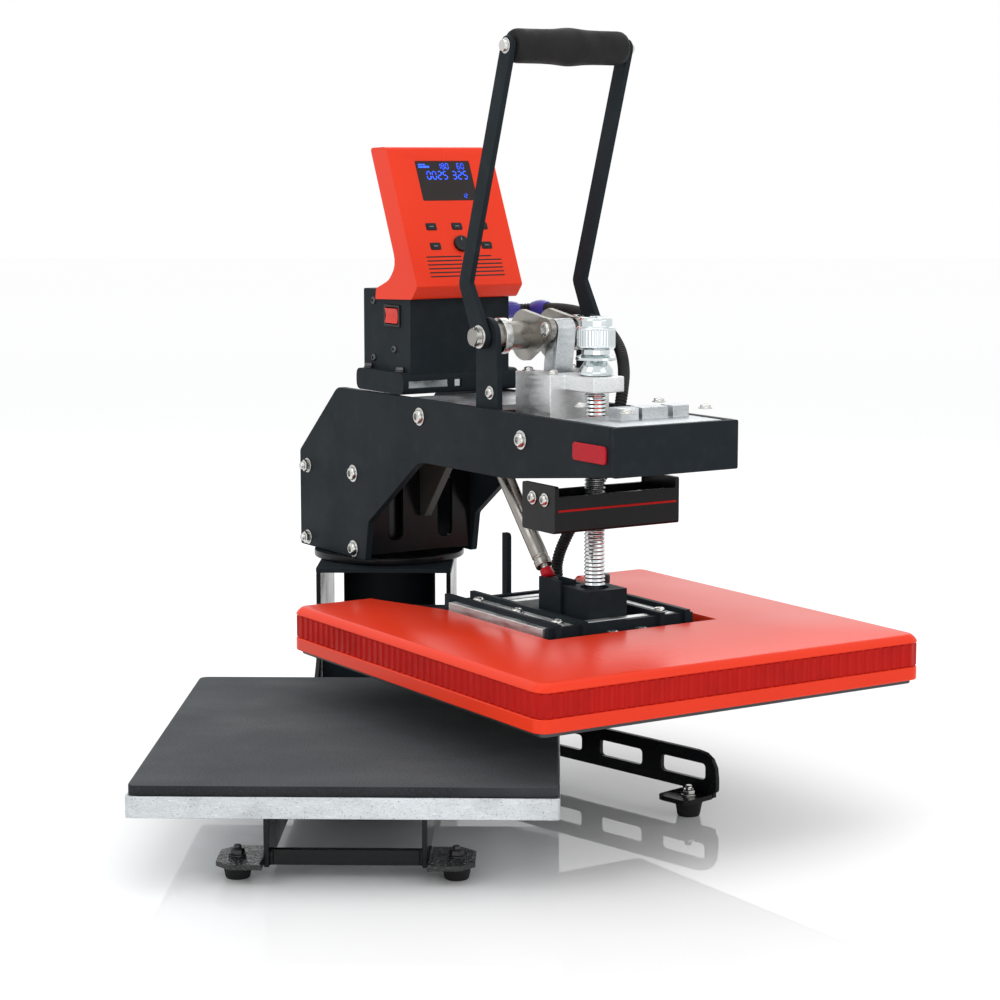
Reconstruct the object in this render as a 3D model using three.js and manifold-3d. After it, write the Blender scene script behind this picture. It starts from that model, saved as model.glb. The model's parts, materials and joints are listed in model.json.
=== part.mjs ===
// Swing-away heat press: a welded base with a lower platen, and a head that swings about a
// column and carries a toggle lever, a heated upper platen and a control panel.
// Millimetres, +Z up. The machine is laid out about the swing axis, which is x = y = 0, and its
// front faces -Y. Parts of the head are given by their reach (distance forward of the swing
// axis), across (sideways) and height, as they are with the head closed over the lower platen.

import * as THREE from 'three';
import { mergeVertices } from 'three/addons/utils/BufferGeometryUtils.js';
import Module from 'manifold-3d';

const wasm = await Module();
wasm.setup();

// ---- driving dimensions ------------------------------------------------------------------

const GAP = 0.3;                       // clearance between parts that touch
const OPEN_SWING = THREE.MathUtils.degToRad(33.75);   // head angle at rest, from closed

const PLATEN_REACH = 430;              // centre of both platens, forward of the swing axis
const PLATEN_WIDTH = 400;
const PLATEN_DEPTH = 484;
const PAD_TOP = 100;                   // height of the working surface
const PAD_THICK = 9.5;
const PLATEN_THICK = 21;
const PLATEN_BOTTOM = PAD_TOP - PAD_THICK - PLATEN_THICK;

const RAIL_TOP = PLATEN_BOTTOM - GAP;
const RAIL_BOTTOM = 14;
const RAIL_ACROSS = 74;                // centre of each side rail
const SHEET = 5;                       // thickness of the base's steel plate
const RAIL_FRONT = -640;
const RAIL_REAR = 72;
const COLUMN_FRONT = -102;
const COLUMN_TOP = 208;
const COLUMN_RADIUS = 54;
const SHAFT_RADIUS = 25;
const EAR_TOP = 21;
const EAR_HALF = 33;
const EAR_OUTER = 121;
const EAR_CLIP = 14;
const STUD_HOLE = 4.5;
const FOOT_ACROSS = 103;
const FRONT_FOOT_Y = -622;
const REAR_FOOT_Y = 45;

const ARM_HALF = 67;                   // inner face of each head side plate
const ARM_PLATE = 8;
const ARM_TOP = 413;
const ARM_FRONT = 565;
const HUB_BOTTOM = COLUMN_TOP + GAP;
const FLANGE_THICK = 8;

const LEVER_REACH = 320;               // lever pivot
const LEVER_HEIGHT = 486;
const LEVER_ARM_ACROSS = 72;
const CRANK = 42;                      // crank pin from the lever pivot
const CRANK_ANGLE = THREE.MathUtils.degToRad(10.913);
const LINK_LENGTH = 64.616;
const LINK_ANGLE = THREE.MathUtils.degToRad(-98.222);

const SPINDLE_REACH = 424;
const SPINDLE_RADIUS = 11;
const SPINDLE_FOOT = 222;

const HEATER_WIDTH = 446;
const HEATER_DEPTH = 466;
const HEATER_BOTTOM = 147;
const HEATER_THICK = 14;
const COVER_WIDTH = 460;
const COVER_DEPTH = 480;
const COVER_BOTTOM = 152;
const COVER_TOP = 198;
const COVER_BEVEL = 7;
const COVER_WALL = 3;

const BOX_HALF = 64;                   // control box
const BOX_REAR = 57;
const BOX_FRONT = 160;
const BOX_BOTTOM = 425;
const BOX_TOP = 525;

const PANEL_HALF = 68;
const PANEL_BOTTOM = 514;              // the panel housing laps down over the box
const PANEL_FOOT = { reach: 182, height: 531 };       // lower edge of the panel's face
const PANEL_HEAD = { reach: 115, height: 682 };       // upper edge of the panel's face

const STRUT_TOP = { across: -18, reach: 235, height: 385 };
const STRUT_END = { across: -18, reach: 372, height: 228 };

// ---- materials -----------------------------------------------------------------------------

const finish = (color, roughness, metalness) =>
  new THREE.MeshStandardMaterial({ color, roughness, metalness });

const blackPowder = finish(0x1b1e22, 0.5, 0.3);
const redPaint = finish(0xd8301c, 0.35, 0.0);
const rawAluminium = finish(0xb9bcbf, 0.35, 1.0);
const darkAluminium = finish(0x4b4d50, 0.45, 0.9);
const foam = finish(0x34373a, 0.9, 0.0);
const rubber = finish(0x161616, 0.8, 0.0);
const steel = finish(0x9a9da0, 0.35, 1.0);
const chrome = finish(0xd6d8da, 0.12, 1.0);
const blackPlastic = finish(0x141416, 0.45, 0.0);
const glass = finish(0x0a0c14, 0.1, 0.0);
const board = finish(0xc8c2b0, 0.9, 0.0);
const violetPlastic = finish(0x4a46a8, 0.4, 0.0);
const redPlastic = finish(0xc41a14, 0.3, 0.0);

// ---- solid helpers ---------------------------------------------------------------------------

/** A closed three.js geometry as a manifold solid. */
function toSolid(geometry) {
  const bare = geometry.clone();
  bare.deleteAttribute('normal');
  bare.deleteAttribute('uv');
  const merged = mergeVertices(bare, 1e-4);
  return new wasm.Manifold(new wasm.Mesh({
    numProp: 3,
    vertProperties: new Float32Array(merged.attributes.position.array),
    triVerts: new Uint32Array(merged.index.array),
  }));
}

/** A manifold solid as a three.js geometry. */
function toGeometry(solid) {
  const mesh = solid.getMesh();
  const geometry = new THREE.BufferGeometry();
  geometry.setAttribute('position', new THREE.Float32BufferAttribute(mesh.vertProperties, 3));
  geometry.setIndex(new THREE.Uint32BufferAttribute(mesh.triVerts, 1));
  geometry.computeVertexNormals();
  return geometry;
}

const cut = (body, ...tools) =>
  toGeometry(tools.reduce((solid, tool) => solid.subtract(toSolid(tool)), toSolid(body)));

const join = (...parts) =>
  toGeometry(parts.slice(1).reduce((solid, part) => solid.add(toSolid(part)), toSolid(parts[0])));

/** A closed outline whose corners are rounded; each point is [x, y] or [x, y, radius]. */
function outline(points, radius = 0) {
  const shape = new THREE.Shape();
  points.forEach(([x, y, own = radius], i) => {
    const corner = new THREE.Vector2(x, y);
    const before = points.at(i - 1);
    const after = points[(i + 1) % points.length];
    const back = new THREE.Vector2(before[0], before[1]).sub(corner).setLength(own).add(corner);
    const ahead = new THREE.Vector2(after[0], after[1]).sub(corner).setLength(own).add(corner);
    if (i === 0) shape.moveTo(back.x, back.y);
    else shape.lineTo(back.x, back.y);
    if (own > 0) shape.quadraticCurveTo(x, y, ahead.x, ahead.y);
  });
  shape.closePath();
  return shape;
}

const rectangle = (x0, y0, x1, y1, radius = 0) =>
  outline([[x0, y0], [x1, y0], [x1, y1], [x0, y1]], radius);

function circle(x, y, radius) {
  const path = new THREE.Shape();
  path.absarc(x, y, radius, 0, Math.PI * 2);
  return path;
}

/** A circle whose flats, rather than its corners, are at the radius, for a hole. */
const hole = (x, y, radius, segments = 4) =>
  circle(x, y, radius / Math.cos(Math.PI / 2 / segments));

/** A plate of the given shape, centred on its own thickness. */
function plate(shape, thickness, holes = [], curveSegments = 4) {
  shape.holes.push(...holes);
  const settings = { depth: thickness, bevelEnabled: false, curveSegments };
  const geometry = new THREE.ExtrudeGeometry(shape, settings);
  return geometry.translate(0, 0, -thickness / 2);
}

const axes = (...rows) =>
  new THREE.Matrix4().makeBasis(...rows.map((row) => new THREE.Vector3(...row)));
const SIDE_VIEW = axes([0, -1, 0], [0, 0, 1], [-1, 0, 0]);
const FRONT_VIEW = axes([1, 0, 0], [0, 0, 1], [0, -1, 0]);

/** Stands a plate drawn as (reach, height) upright, facing sideways. */
const sideways = (geometry, across) => geometry.applyMatrix4(SIDE_VIEW).translate(across, 0, 0);

/** Stands a plate drawn as (across, height) upright, facing forward. */
const facing = (geometry, reach) => geometry.applyMatrix4(FRONT_VIEW).translate(0, -reach, 0);

/** Lays a plate drawn as (x, y) flat, with its underside at a height. */
function lying(geometry, underside) {
  geometry.computeBoundingBox();
  return geometry.translate(0, 0, underside - geometry.boundingBox.min.z);
}

/** A box between two corners, each [across, reach, height]. */
function block([x0, r0, z0], [x1, r1, z1]) {
  const geometry = new THREE.BoxGeometry(x1 - x0, r1 - r0, z1 - z0);
  return geometry.translate((x0 + x1) / 2, -(r0 + r1) / 2, (z0 + z1) / 2);
}

/** An upright cylinder between two heights. */
function upright(x, y, radius, bottom, top, segments = 32) {
  const geometry = new THREE.CylinderGeometry(radius, radius, top - bottom, segments);
  return geometry.rotateX(Math.PI / 2).translate(x, y, (bottom + top) / 2);
}

/** A cylinder that lies across the machine. */
function crosswise(reach, height, radius, x0, x1, segments = 24) {
  const geometry = new THREE.CylinderGeometry(radius, radius, x1 - x0, segments);
  return geometry.rotateZ(Math.PI / 2).translate((x0 + x1) / 2, -reach, height);
}

/** A solid of revolution about an upright axis; the profile is [radius, height] pairs. */
function turned(profile, segments = 32) {
  const geometry = new THREE.LatheGeometry(profile.map(([r, z]) => new THREE.Vector2(r, z)), segments);
  return geometry.rotateX(Math.PI / 2);
}

function part(group, name, geometry, material) {
  const mesh = new THREE.Mesh(geometry, material);
  mesh.name = name;
  group.add(mesh);
  return mesh;
}

// ---- base ---------------------------------------------------------------------------------

/** A rubber foot with its stud and the nut that locks it, standing on the floor. */
function levellingFoot() {
  const nutBottom = EAR_TOP + GAP;
  const rubberTop = EAR_TOP - SHEET - GAP;
  return turned([
    [0, 0], [10, 0], [11, 1.5], [13, rubberTop - 1], [12, rubberTop], [4, rubberTop],
    [4, nutBottom], [7.5, nutBottom], [7.5, nutBottom + 6.5], [4, nutBottom + 6.5], [4, 36], [0, 36],
  ], 20);
}

/** An ear with clipped corners that stands out from a side rail and carries a foot. */
function footEar(side, y) {
  const inner = RAIL_ACROSS + SHEET / 2 + GAP;
  const shape = outline([
    [inner, y - EAR_HALF], [EAR_OUTER - EAR_CLIP, y - EAR_HALF], [EAR_OUTER, y - EAR_HALF + EAR_CLIP],
    [EAR_OUTER, y + EAR_HALF - EAR_CLIP], [EAR_OUTER - EAR_CLIP, y + EAR_HALF], [inner, y + EAR_HALF],
  ]);
  const ear = lying(plate(shape, SHEET, [hole(FOOT_ACROSS, y, STUD_HOLE, 6)], 6), EAR_TOP - SHEET);
  return side > 0 ? ear : ear.rotateZ(Math.PI).translate(0, 2 * y, 0);
}

function sideRail(across) {
  const shape = outline([
    [-RAIL_FRONT, RAIL_BOTTOM, 3], [-RAIL_FRONT, RAIL_TOP, 3], [170, RAIL_TOP, 20],
    [-COLUMN_FRONT + SHEET, 110, 20], [-COLUMN_FRONT + SHEET, COLUMN_TOP - SHEET - GAP],
    [-RAIL_REAR, COLUMN_TOP - SHEET - GAP], [-RAIL_REAR, EAR_TOP + GAP],
    [-COLUMN_FRONT + 2, EAR_TOP + GAP], [-COLUMN_FRONT + 10, RAIL_BOTTOM],
  ]);
  return sideways(plate(shape, SHEET), across);
}

const OUTRIGGER = { length: 399, bottom: 22, top: 64, foot: [379, -22] };

/** The diagonal leg that carries the overhung head: a windowed web with a bent foot tab. */
function outriggerLeg() {
  const { length, bottom, top } = OUTRIGGER;
  const web = outline([[0, bottom], [length, bottom, 5], [length, top, 27], [0, top]]);
  const windows = [55, 144, 233, 322].map((start) => rectangle(start, 34, start + 62, 51, 5));
  const tab = rectangle(length - 46, -44, length - 4, SHEET / 2, 10);
  const bend = new THREE.BoxGeometry(42, SHEET, 8).translate(length - 25, 0, EAR_TOP);
  return join(plate(web, SHEET, windows).applyMatrix4(FRONT_VIEW),
    lying(plate(tab, SHEET, [hole(...OUTRIGGER.foot, STUD_HOLE, 6)], 6), EAR_TOP - SHEET), bend);
}

function buildBase() {
  const base = new THREE.Group();
  const railInner = RAIL_ACROSS - SHEET / 2 - GAP;

  part(base, 'side_rail_left', sideRail(-RAIL_ACROSS), blackPowder);
  part(base, 'side_rail_right', sideRail(RAIL_ACROSS), blackPowder);
  part(base, 'front_cross_bar', block([-railInner, 622, 14], [railInner, 630, 29]), blackPowder);
  const frontCover = plate(rectangle(-railInner, EAR_TOP + GAP, railInner, 165, 3), SHEET);
  const coverReach = -COLUMN_FRONT - SHEET / 2 - 1;
  part(base, 'column_front_plate', facing(frontCover, coverReach), blackPowder);
  const shaftHole = hole(0, 0, SHAFT_RADIUS + GAP, 16);
  const topShape = rectangle(-RAIL_ACROSS - 3, COLUMN_FRONT - SHEET, RAIL_ACROSS + 3, RAIL_REAR, 4);
  const topPlate = lying(plate(topShape, SHEET, [shaftHole], 16), COLUMN_TOP - SHEET);
  part(base, 'column_top_plate', topPlate, blackPowder);
  const tubeHeight = COLUMN_TOP - SHEET - EAR_TOP - 2 * GAP;
  const tube = plate(circle(0, 0, COLUMN_RADIUS), tubeHeight, [circle(0, 0, 46)], 16);
  part(base, 'column_tube', lying(tube, EAR_TOP + GAP), blackPowder);
  part(base, 'swing_shaft', upright(0, 0, SHAFT_RADIUS, 120, 328), steel);

  for (const [side, word] of [[-1, 'left'], [1, 'right']]) {
    part(base, `front_ear_${word}`, footEar(side, FRONT_FOOT_Y), blackPowder);
    const frontFoot = levellingFoot().translate(side * FOOT_ACROSS, FRONT_FOOT_Y, 0);
    part(base, `front_foot_${word}`, frontFoot, rubber);
    const rearFoot = levellingFoot().translate(side * FOOT_ACROSS, REAR_FOOT_Y, 0);
    part(base, `rear_foot_${word}`, rearFoot, rubber);
  }
  const rearHoles = [-1, 1].map((side) => hole(side * FOOT_ACROSS, REAR_FOOT_Y, STUD_HOLE, 6));
  const earFront = REAR_FOOT_Y - EAR_HALF;
  const clipped = EAR_OUTER - EAR_CLIP;
  const footplate = outline([
    [-EAR_OUTER, earFront + EAR_CLIP], [-clipped, earFront], [-80, earFront], [-80, COLUMN_FRONT],
    [80, COLUMN_FRONT], [80, earFront], [clipped, earFront], [EAR_OUTER, earFront + EAR_CLIP],
    [EAR_OUTER, RAIL_REAR - EAR_CLIP], [clipped, RAIL_REAR], [-clipped, RAIL_REAR],
    [-EAR_OUTER, RAIL_REAR - EAR_CLIP],
  ]);
  part(base, 'base_plate', lying(plate(footplate, SHEET, rearHoles, 6), EAR_TOP - SHEET), blackPowder);

  const outrigger = new THREE.Group();
  outrigger.position.set(RAIL_ACROSS + SHEET / 2 + 4, -108, 0);
  outrigger.rotation.z = -Math.PI / 4;
  part(outrigger, 'outrigger_leg', outriggerLeg(), blackPowder);
  part(outrigger, 'outrigger_foot', levellingFoot().translate(...OUTRIGGER.foot, 0), rubber);
  base.add(outrigger);

  const padHalf = PLATEN_WIDTH / 2;
  const front = -PLATEN_REACH - PLATEN_DEPTH / 2;
  const slab = rectangle(-padHalf, front, padHalf, front + PLATEN_DEPTH, 4);
  part(base, 'lower_platen', lying(plate(slab, PLATEN_THICK - GAP), PLATEN_BOTTOM), rawAluminium);
  const padShape = rectangle(-padHalf + 2, front + 2, padHalf - 2, front + PLATEN_DEPTH - 2, 10);
  part(base, 'platen_pad', lying(plate(padShape, PAD_THICK), PAD_TOP - PAD_THICK), foam);
  return base;
}

// ---- head: frame -----------------------------------------------------------------------------

function sidePlate(across) {
  const bottom = HUB_BOTTOM + FLANGE_THICK + GAP;
  const shape = outline([
    [-80, bottom, 3], [75, bottom, 3], [83, 262, 3], [196, 342, 12], [370, 343, 12],
    [ARM_FRONT - 8 - GAP, 364], [ARM_FRONT - 8 - GAP, ARM_TOP], [290, ARM_TOP, 8],
    [12, ARM_TOP - 3, 8], [-80, 329, 3],
  ]);
  return sideways(plate(shape, ARM_PLATE), across);
}

function pivotBracket(across) {
  const bracket = new THREE.Shape();
  bracket.moveTo(298, 352);
  bracket.lineTo(344, 352);
  bracket.lineTo(340, LEVER_HEIGHT);
  bracket.absarc(LEVER_REACH, LEVER_HEIGHT, 20, 0, Math.PI);
  bracket.closePath();
  return sideways(plate(bracket, 6, [hole(LEVER_REACH, LEVER_HEIGHT, 9 + GAP, 8)], 8), across);
}

function buildHeadFrame(head) {
  const wall = ARM_HALF + ARM_PLATE / 2;
  const inner = ARM_HALF - GAP;
  part(head, 'side_plate_left', sidePlate(-wall), blackPowder);
  part(head, 'side_plate_right', sidePlate(wall), blackPowder);
  const nose = rectangle(-ARM_HALF - ARM_PLATE, 364, ARM_HALF + ARM_PLATE, ARM_TOP, 2);
  part(head, 'front_plate', facing(plate(nose, 8), ARM_FRONT - 4), blackPowder);

  const slots = [-33, 33].map((across) => rectangle(across - 10, 236, across + 10, 306, 9));
  const slotted = rectangle(-inner, 222, inner, 318, 2);
  part(head, 'slotted_plate', facing(plate(slotted, 6, slots, 6), 69), blackPowder);
  const back = rectangle(-inner, 222, inner, 322, 2);
  part(head, 'rear_plate', facing(plate(back, 6), -74), blackPowder);

  const flange = turned([
    [SHAFT_RADIUS + GAP, HUB_BOTTOM], [88, HUB_BOTTOM], [88, HUB_BOTTOM + FLANGE_THICK],
    [42, HUB_BOTTOM + FLANGE_THICK], [42, 332], [SHAFT_RADIUS + GAP, 332],
    [SHAFT_RADIUS + GAP, HUB_BOTTOM],
  ], 40);
  part(head, 'swing_hub', flange, steel);

  part(head, 'pivot_bracket_left', pivotBracket(-63.5), blackPowder);
  part(head, 'pivot_bracket_right', pivotBracket(63.5), blackPowder);
  const topPlate = rectangle(-inner, -ARM_FRONT + 8 + GAP, inner, -456, 3);
  const stops = [[-26, -4], [0, 32], [38, 58]].map(([from, to]) => block([from, 484, 409], [to, 506, 424]));
  part(head, 'arm_top_plate', join(lying(plate(topPlate, 8), 404), ...stops), rawAluminium);
  const rearTop = rectangle(-inner, -288, inner, -161, 3);
  part(head, 'arm_rear_plate', lying(plate(rearTop, 6), 404), rawAluminium);

  const channel = outline([
    [405, 297, 3], [465, 297, 3], [465, 334], [460, 334], [460, 302], [410, 302], [410, 334], [405, 334],
  ]);
  const ends = [-74.5, 74.5].map((across) =>
    sideways(plate(rectangle(405, 297, 465, 345, 3), SHEET), across));
  const beam = join(sideways(plate(channel, 154), 0), ...ends);
  const bushHole = upright(0, -SPINDLE_REACH, SPINDLE_RADIUS + 1, 290, 303);
  part(head, 'guide_channel', cut(beam, bushHole), blackPowder);
}

// ---- head: controls ----------------------------------------------------------------------------

const PANEL_LEAN = PANEL_FOOT.reach - PANEL_HEAD.reach;
const PANEL_RISE = PANEL_HEAD.height - PANEL_FOOT.height;
const FACE_LENGTH = Math.hypot(PANEL_LEAN, PANEL_RISE);

/** A frame on the panel's face: x across, y up the face, z out of it, origin at its lower edge. */
function panelFrame() {
  const frame = new THREE.Group();
  frame.position.set(0, -PANEL_FOOT.reach, PANEL_FOOT.height);
  frame.rotation.x = Math.PI / 2 - Math.atan2(PANEL_LEAN, PANEL_RISE);
  return frame;
}

const BUTTONS = [
  ['up', -33, 95], ['down', 0, 95], ['mode', 33, 95], ['timer', -33, 118], ['enter', 33, 118],
];
const BUTTON = { width: 13, height: 8, lip: 1, depth: 5 };
const WINDOW = { width: 70, height: 47, fromTop: 17 };
const DIAL = { radius: 9, fromTop: 116, depth: 10, lip: 4 };

/** Cutter and part geometry on the panel's face, in the face's own frame. */
const onFace = (shape, thickness, top) =>
  plate(shape, thickness, [], 6).translate(0, 0, top - thickness / 2);

function buttonShape(across, fromTop, grow = 0) {
  const halfWidth = BUTTON.width / 2 + grow;
  const halfHeight = BUTTON.height / 2 + grow;
  const up = FACE_LENGTH - fromTop;
  return rectangle(across - halfWidth, up - halfHeight, across + halfWidth, up + halfHeight, 2);
}

function windowShape(grow = 0) {
  const top = FACE_LENGTH - WINDOW.fromTop;
  const half = WINDOW.width / 2 + grow;
  return rectangle(-half, top - WINDOW.height - grow, half, top + grow, 2);
}

function buildPanel(head) {
  const shell = outline([
    [90, PANEL_BOTTOM], [170, PANEL_BOTTOM + 3, 3], [PANEL_FOOT.reach, PANEL_FOOT.height, 2],
    [PANEL_HEAD.reach, PANEL_HEAD.height, 4], [81, 681, 6], [137, 553, 14], [120, 536, 6], [92, 526, 3],
  ]);
  const frame = panelFrame();
  frame.updateMatrix();
  const toHead = (geometry) => geometry.applyMatrix4(frame.matrix);
  const dialShape = (grow) => circle(0, FACE_LENGTH - DIAL.fromTop, DIAL.radius + grow);
  const pockets = [
    toHead(onFace(windowShape(GAP), 12, 10)),
    toHead(onFace(dialShape(GAP), 17, 10)),
    ...BUTTONS.map(([, across, fromTop]) => toHead(onFace(buttonShape(across, fromTop, GAP), 17, 10))),
  ];
  const housing = sideways(plate(shell, PANEL_HALF * 2), 0);
  const roomHalf = BOX_HALF + GAP;
  const boxRoom = block([-roomHalf, 40, 480], [roomHalf, BOX_FRONT + GAP, BOX_TOP + GAP]);
  const inside = outline([
    [100, 510], [157, 510], [157, 528], [176, 533.5], [113, 676], [86, 676], [140.5, 553],
    [123, 533], [100, 526],
  ]);
  const hollow = sideways(plate(inside, BOX_HALF * 2), 0);
  part(head, 'panel_housing', cut(housing, boxRoom, hollow, ...pockets), redPaint);
  part(frame, 'display_window', onFace(windowShape(), 1.6, -0.1), glass);
  part(frame, 'dial_knob', onFace(dialShape(0), DIAL.depth, DIAL.lip), blackPlastic);
  for (const [name, across, fromTop] of BUTTONS) {
    const key = onFace(buttonShape(across, fromTop), BUTTON.depth, BUTTON.lip);
    part(frame, `button_${name}`, key, blackPlastic);
  }
  head.add(frame);
}

const ROCKER = { reach: 122, height: 497, halfLength: 14, halfHeight: 9 };

function rockerShape(grow) {
  const { reach, height, halfLength, halfHeight } = ROCKER;
  return rectangle(reach - halfLength - grow, height - halfHeight - grow,
    reach + halfLength + grow, height + halfHeight + grow, 1);
}

function buildControlBox(head) {
  const profile = rectangle(BOX_REAR, BOX_BOTTOM, BOX_FRONT, BOX_TOP, 3);
  const shell = sideways(plate(profile, BOX_HALF * 2), 0);
  const tray = sideways(plate(rectangle(58, 412, 163, 436, 9), 150), 0);
  const slots = [[-68, -15], [-9, 1]].map(([from, to]) => block([from, 40, 419], [to, 170, 427]));
  const rockerPocket = sideways(plate(rockerShape(GAP + 3), 16), -BOX_HALF);
  const inletPocket = facing(plate(rectangle(8, 450, 44, 478, 2), 30), BOX_REAR);
  const wall = 3.5;
  const half = BOX_HALF - wall;
  const hollow = block([-half, BOX_REAR + wall, 436 + wall], [half, BOX_FRONT - wall, BOX_TOP - wall]);
  const wireHole = block([-56, 102, BOX_TOP - 10], [56, 155, BOX_TOP + 5]);
  const box = cut(join(shell, tray), hollow, wireHole, rockerPocket, inletPocket, ...slots);
  part(head, 'control_box', box, blackPowder);

  const bezelRing = plate(rockerShape(3), 9, [rockerShape(GAP)]);
  part(head, 'rocker_bezel', sideways(bezelRing, -BOX_HALF + 2.7), blackPlastic);
  part(head, 'power_rocker', sideways(plate(rockerShape(-0.8), 6), -BOX_HALF - 0.2), redPlastic);

  const inletShape = rectangle(8.3, 450.3, 43.7, 477.7, 2);
  const inlet = facing(plate(inletShape, 20), BOX_REAR + 4.7);
  const inletMouth = facing(plate(rectangle(13, 456, 39, 472, 3), 20), BOX_REAR - 3);
  part(head, 'power_inlet', cut(inlet, inletMouth), blackPlastic);
}

// ---- head: heater conduit ------------------------------------------------------------------------

const CONDUIT_RADIUS = 6.5;
const GLAND_LENGTH = 22;
const BOX_GLAND = { start: BOX_HALF + GAP, reach: 143, height: 500 };
const PLATEN_GLAND = { across: 22, reach: 322, bottom: 191.6, top: 224.1 };
const CONDUIT_START = BOX_GLAND.start + GLAND_LENGTH + 2 * GAP;
const CONDUIT_ROUTE = [                // across, reach, height
  [CONDUIT_START, BOX_GLAND.reach, BOX_GLAND.height], [CONDUIT_START + 7, BOX_GLAND.reach, 500],
  [103, 152, 501], [106, 172, 502], [106, 205, 503], [102, 242, 502], [97, 278, 498], [94, 310, 487],
  [89, 340, 469], [77, 365, 449], [62, 384, 428], [52, 391, 402], [49, 387, 370], [45, 372, 338],
  [36, 346, 300], [26, 328, 262], [22, 322, 240],
  [PLATEN_GLAND.across, PLATEN_GLAND.reach, PLATEN_GLAND.top + GAP + 0.2],
];

function buildConduit(head) {
  const points = CONDUIT_ROUTE.map(([across, reach, height]) => new THREE.Vector3(across, -reach, height));
  const route = new THREE.CatmullRomCurve3(points);
  const tube = new THREE.ExtrudeGeometry(circle(0, 0, CONDUIT_RADIUS), {
    steps: 40, extrudePath: route, bevelEnabled: false, curveSegments: 5,
  });
  part(head, 'heater_conduit', tube, rubber);
  const { start, reach: glandReach, height } = BOX_GLAND;
  const boxGland = new THREE.CylinderGeometry(9, 11, GLAND_LENGTH, 20).rotateZ(-Math.PI / 2);
  boxGland.translate(start + GLAND_LENGTH / 2, -glandReach, height);
  part(head, 'box_gland', boxGland, violetPlastic);
  const { across, reach } = PLATEN_GLAND;
  part(head, 'platen_gland', upright(across, -reach, 10, PLATEN_GLAND.bottom, PLATEN_GLAND.top, 20), steel);
}

// ---- lever and toggle ---------------------------------------------------------------------------

const around = (angle, distance) =>
  [LEVER_REACH + distance * Math.cos(angle), LEVER_HEIGHT + distance * Math.sin(angle)];

/** A bar with round ends between two points, drawn as (reach, height). */
function roundBar([x0, y0], [x1, y1], radius0, radius1 = radius0) {
  const bearing = Math.atan2(y1 - y0, x1 - x0);
  const shape = new THREE.Shape();
  shape.absarc(x0, y0, radius0, bearing + Math.PI / 2, bearing + Math.PI * 1.5);
  shape.absarc(x1, y1, radius1, bearing - Math.PI / 2, bearing + Math.PI / 2);
  shape.closePath();
  return shape;
}

const LEVER_KINK = [290, 540];
const GRIP_CENTRE = [371, 782];
const GRIP_HALF = 68;
const GRIP_BAR_RADIUS = 8;
const GRIP_BORE = GRIP_BAR_RADIUS + GAP;

function leverArm(across) {
  const pivot = [LEVER_REACH, LEVER_HEIGHT];
  const lower = sideways(plate(roundBar(pivot, LEVER_KINK, 13, 10), 6), across);
  const upper = sideways(plate(roundBar(LEVER_KINK, GRIP_CENTRE, 10), 6), across);
  const holes = [crosswise(...pivot, 9 + GAP, across - 8, across + 8, 20),
    crosswise(...GRIP_CENTRE, 6 + GAP, across - 8, across + 8, 20)];
  return cut(join(lower, upper), ...holes);
}

function buildLever(head) {
  part(head, 'lever_arm_left', leverArm(-LEVER_ARM_ACROSS), blackPowder);
  part(head, 'lever_arm_right', leverArm(LEVER_ARM_ACROSS), blackPowder);

  const crankPin = around(CRANK_ANGLE, CRANK);
  const cheeks = [-17, 17].map((across) =>
    sideways(plate(roundBar([LEVER_REACH, LEVER_HEIGHT], crankPin, 27, 12), 6, [], 10), across));
  const hub = join(crosswise(LEVER_REACH, LEVER_HEIGHT, 15, -59.5, 59.5),
    crosswise(LEVER_REACH, LEVER_HEIGHT, 9, -84, 84), ...cheeks);
  const linkRoom = crosswise(...crankPin, 14, -13.7, 13.7);
  const pinHole = crosswise(...crankPin, 6 + GAP, -25, 25);
  part(head, 'lever_hub', cut(hub, linkRoom, pinHole), steel);

  const linkEnd = [
    crankPin[0] + LINK_LENGTH * Math.cos(LINK_ANGLE), crankPin[1] + LINK_LENGTH * Math.sin(LINK_ANGLE),
  ];
  const link = join(sideways(plate(roundBar(crankPin, linkEnd, 11), 22, [], 10), 0),
    crosswise(...crankPin, 6, -22, 22));
  part(head, 'toggle_link', link, rawAluminium);

  const gripProfile = [[-GRIP_HALF, 15], [-GRIP_HALF + 4, 17.5], [-40, 17.5], [-18, 19.5], [18, 19.5],
    [40, 17.5], [GRIP_HALF - 4, 17.5], [GRIP_HALF, 15]];
  const sleeve = new THREE.LatheGeometry([
    ...gripProfile.map(([along, radius]) => new THREE.Vector2(radius, along)),
    new THREE.Vector2(GRIP_BORE, GRIP_HALF), new THREE.Vector2(GRIP_BORE, -GRIP_HALF),
    new THREE.Vector2(15, -GRIP_HALF),
  ], 24).rotateZ(Math.PI / 2).translate(0, -GRIP_CENTRE[0], GRIP_CENTRE[1]);
  part(head, 'lever_grip', sleeve, rubber);
  const bar = join(crosswise(...GRIP_CENTRE, GRIP_BAR_RADIUS, -GRIP_HALF, GRIP_HALF, 20),
    crosswise(...GRIP_CENTRE, 6, -80, 80, 20));
  part(head, 'lever_grip_bar', bar, steel);
}

// ---- upper platen and pressure spindle ------------------------------------------------------------

function coverWindow(grow) {
  const rear = PLATEN_REACH - COVER_DEPTH / 2 - 5;
  return outline([
    [-132 - grow, -rear], [-104 - grow, -300], [-104 - grow, -496 - grow], [104 + grow, -496 - grow],
    [104 + grow, -300], [132 + grow, -rear],
  ]);
}

/** The cover's outline on plan, drawn in by an inset all round. */
function coverOutline(inset, radius) {
  const half = COVER_WIDTH / 2 - inset;
  const halfDepth = COVER_DEPTH / 2 - inset;
  return rectangle(-half, -PLATEN_REACH - halfDepth, half, -PLATEN_REACH + halfDepth, radius);
}

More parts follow.
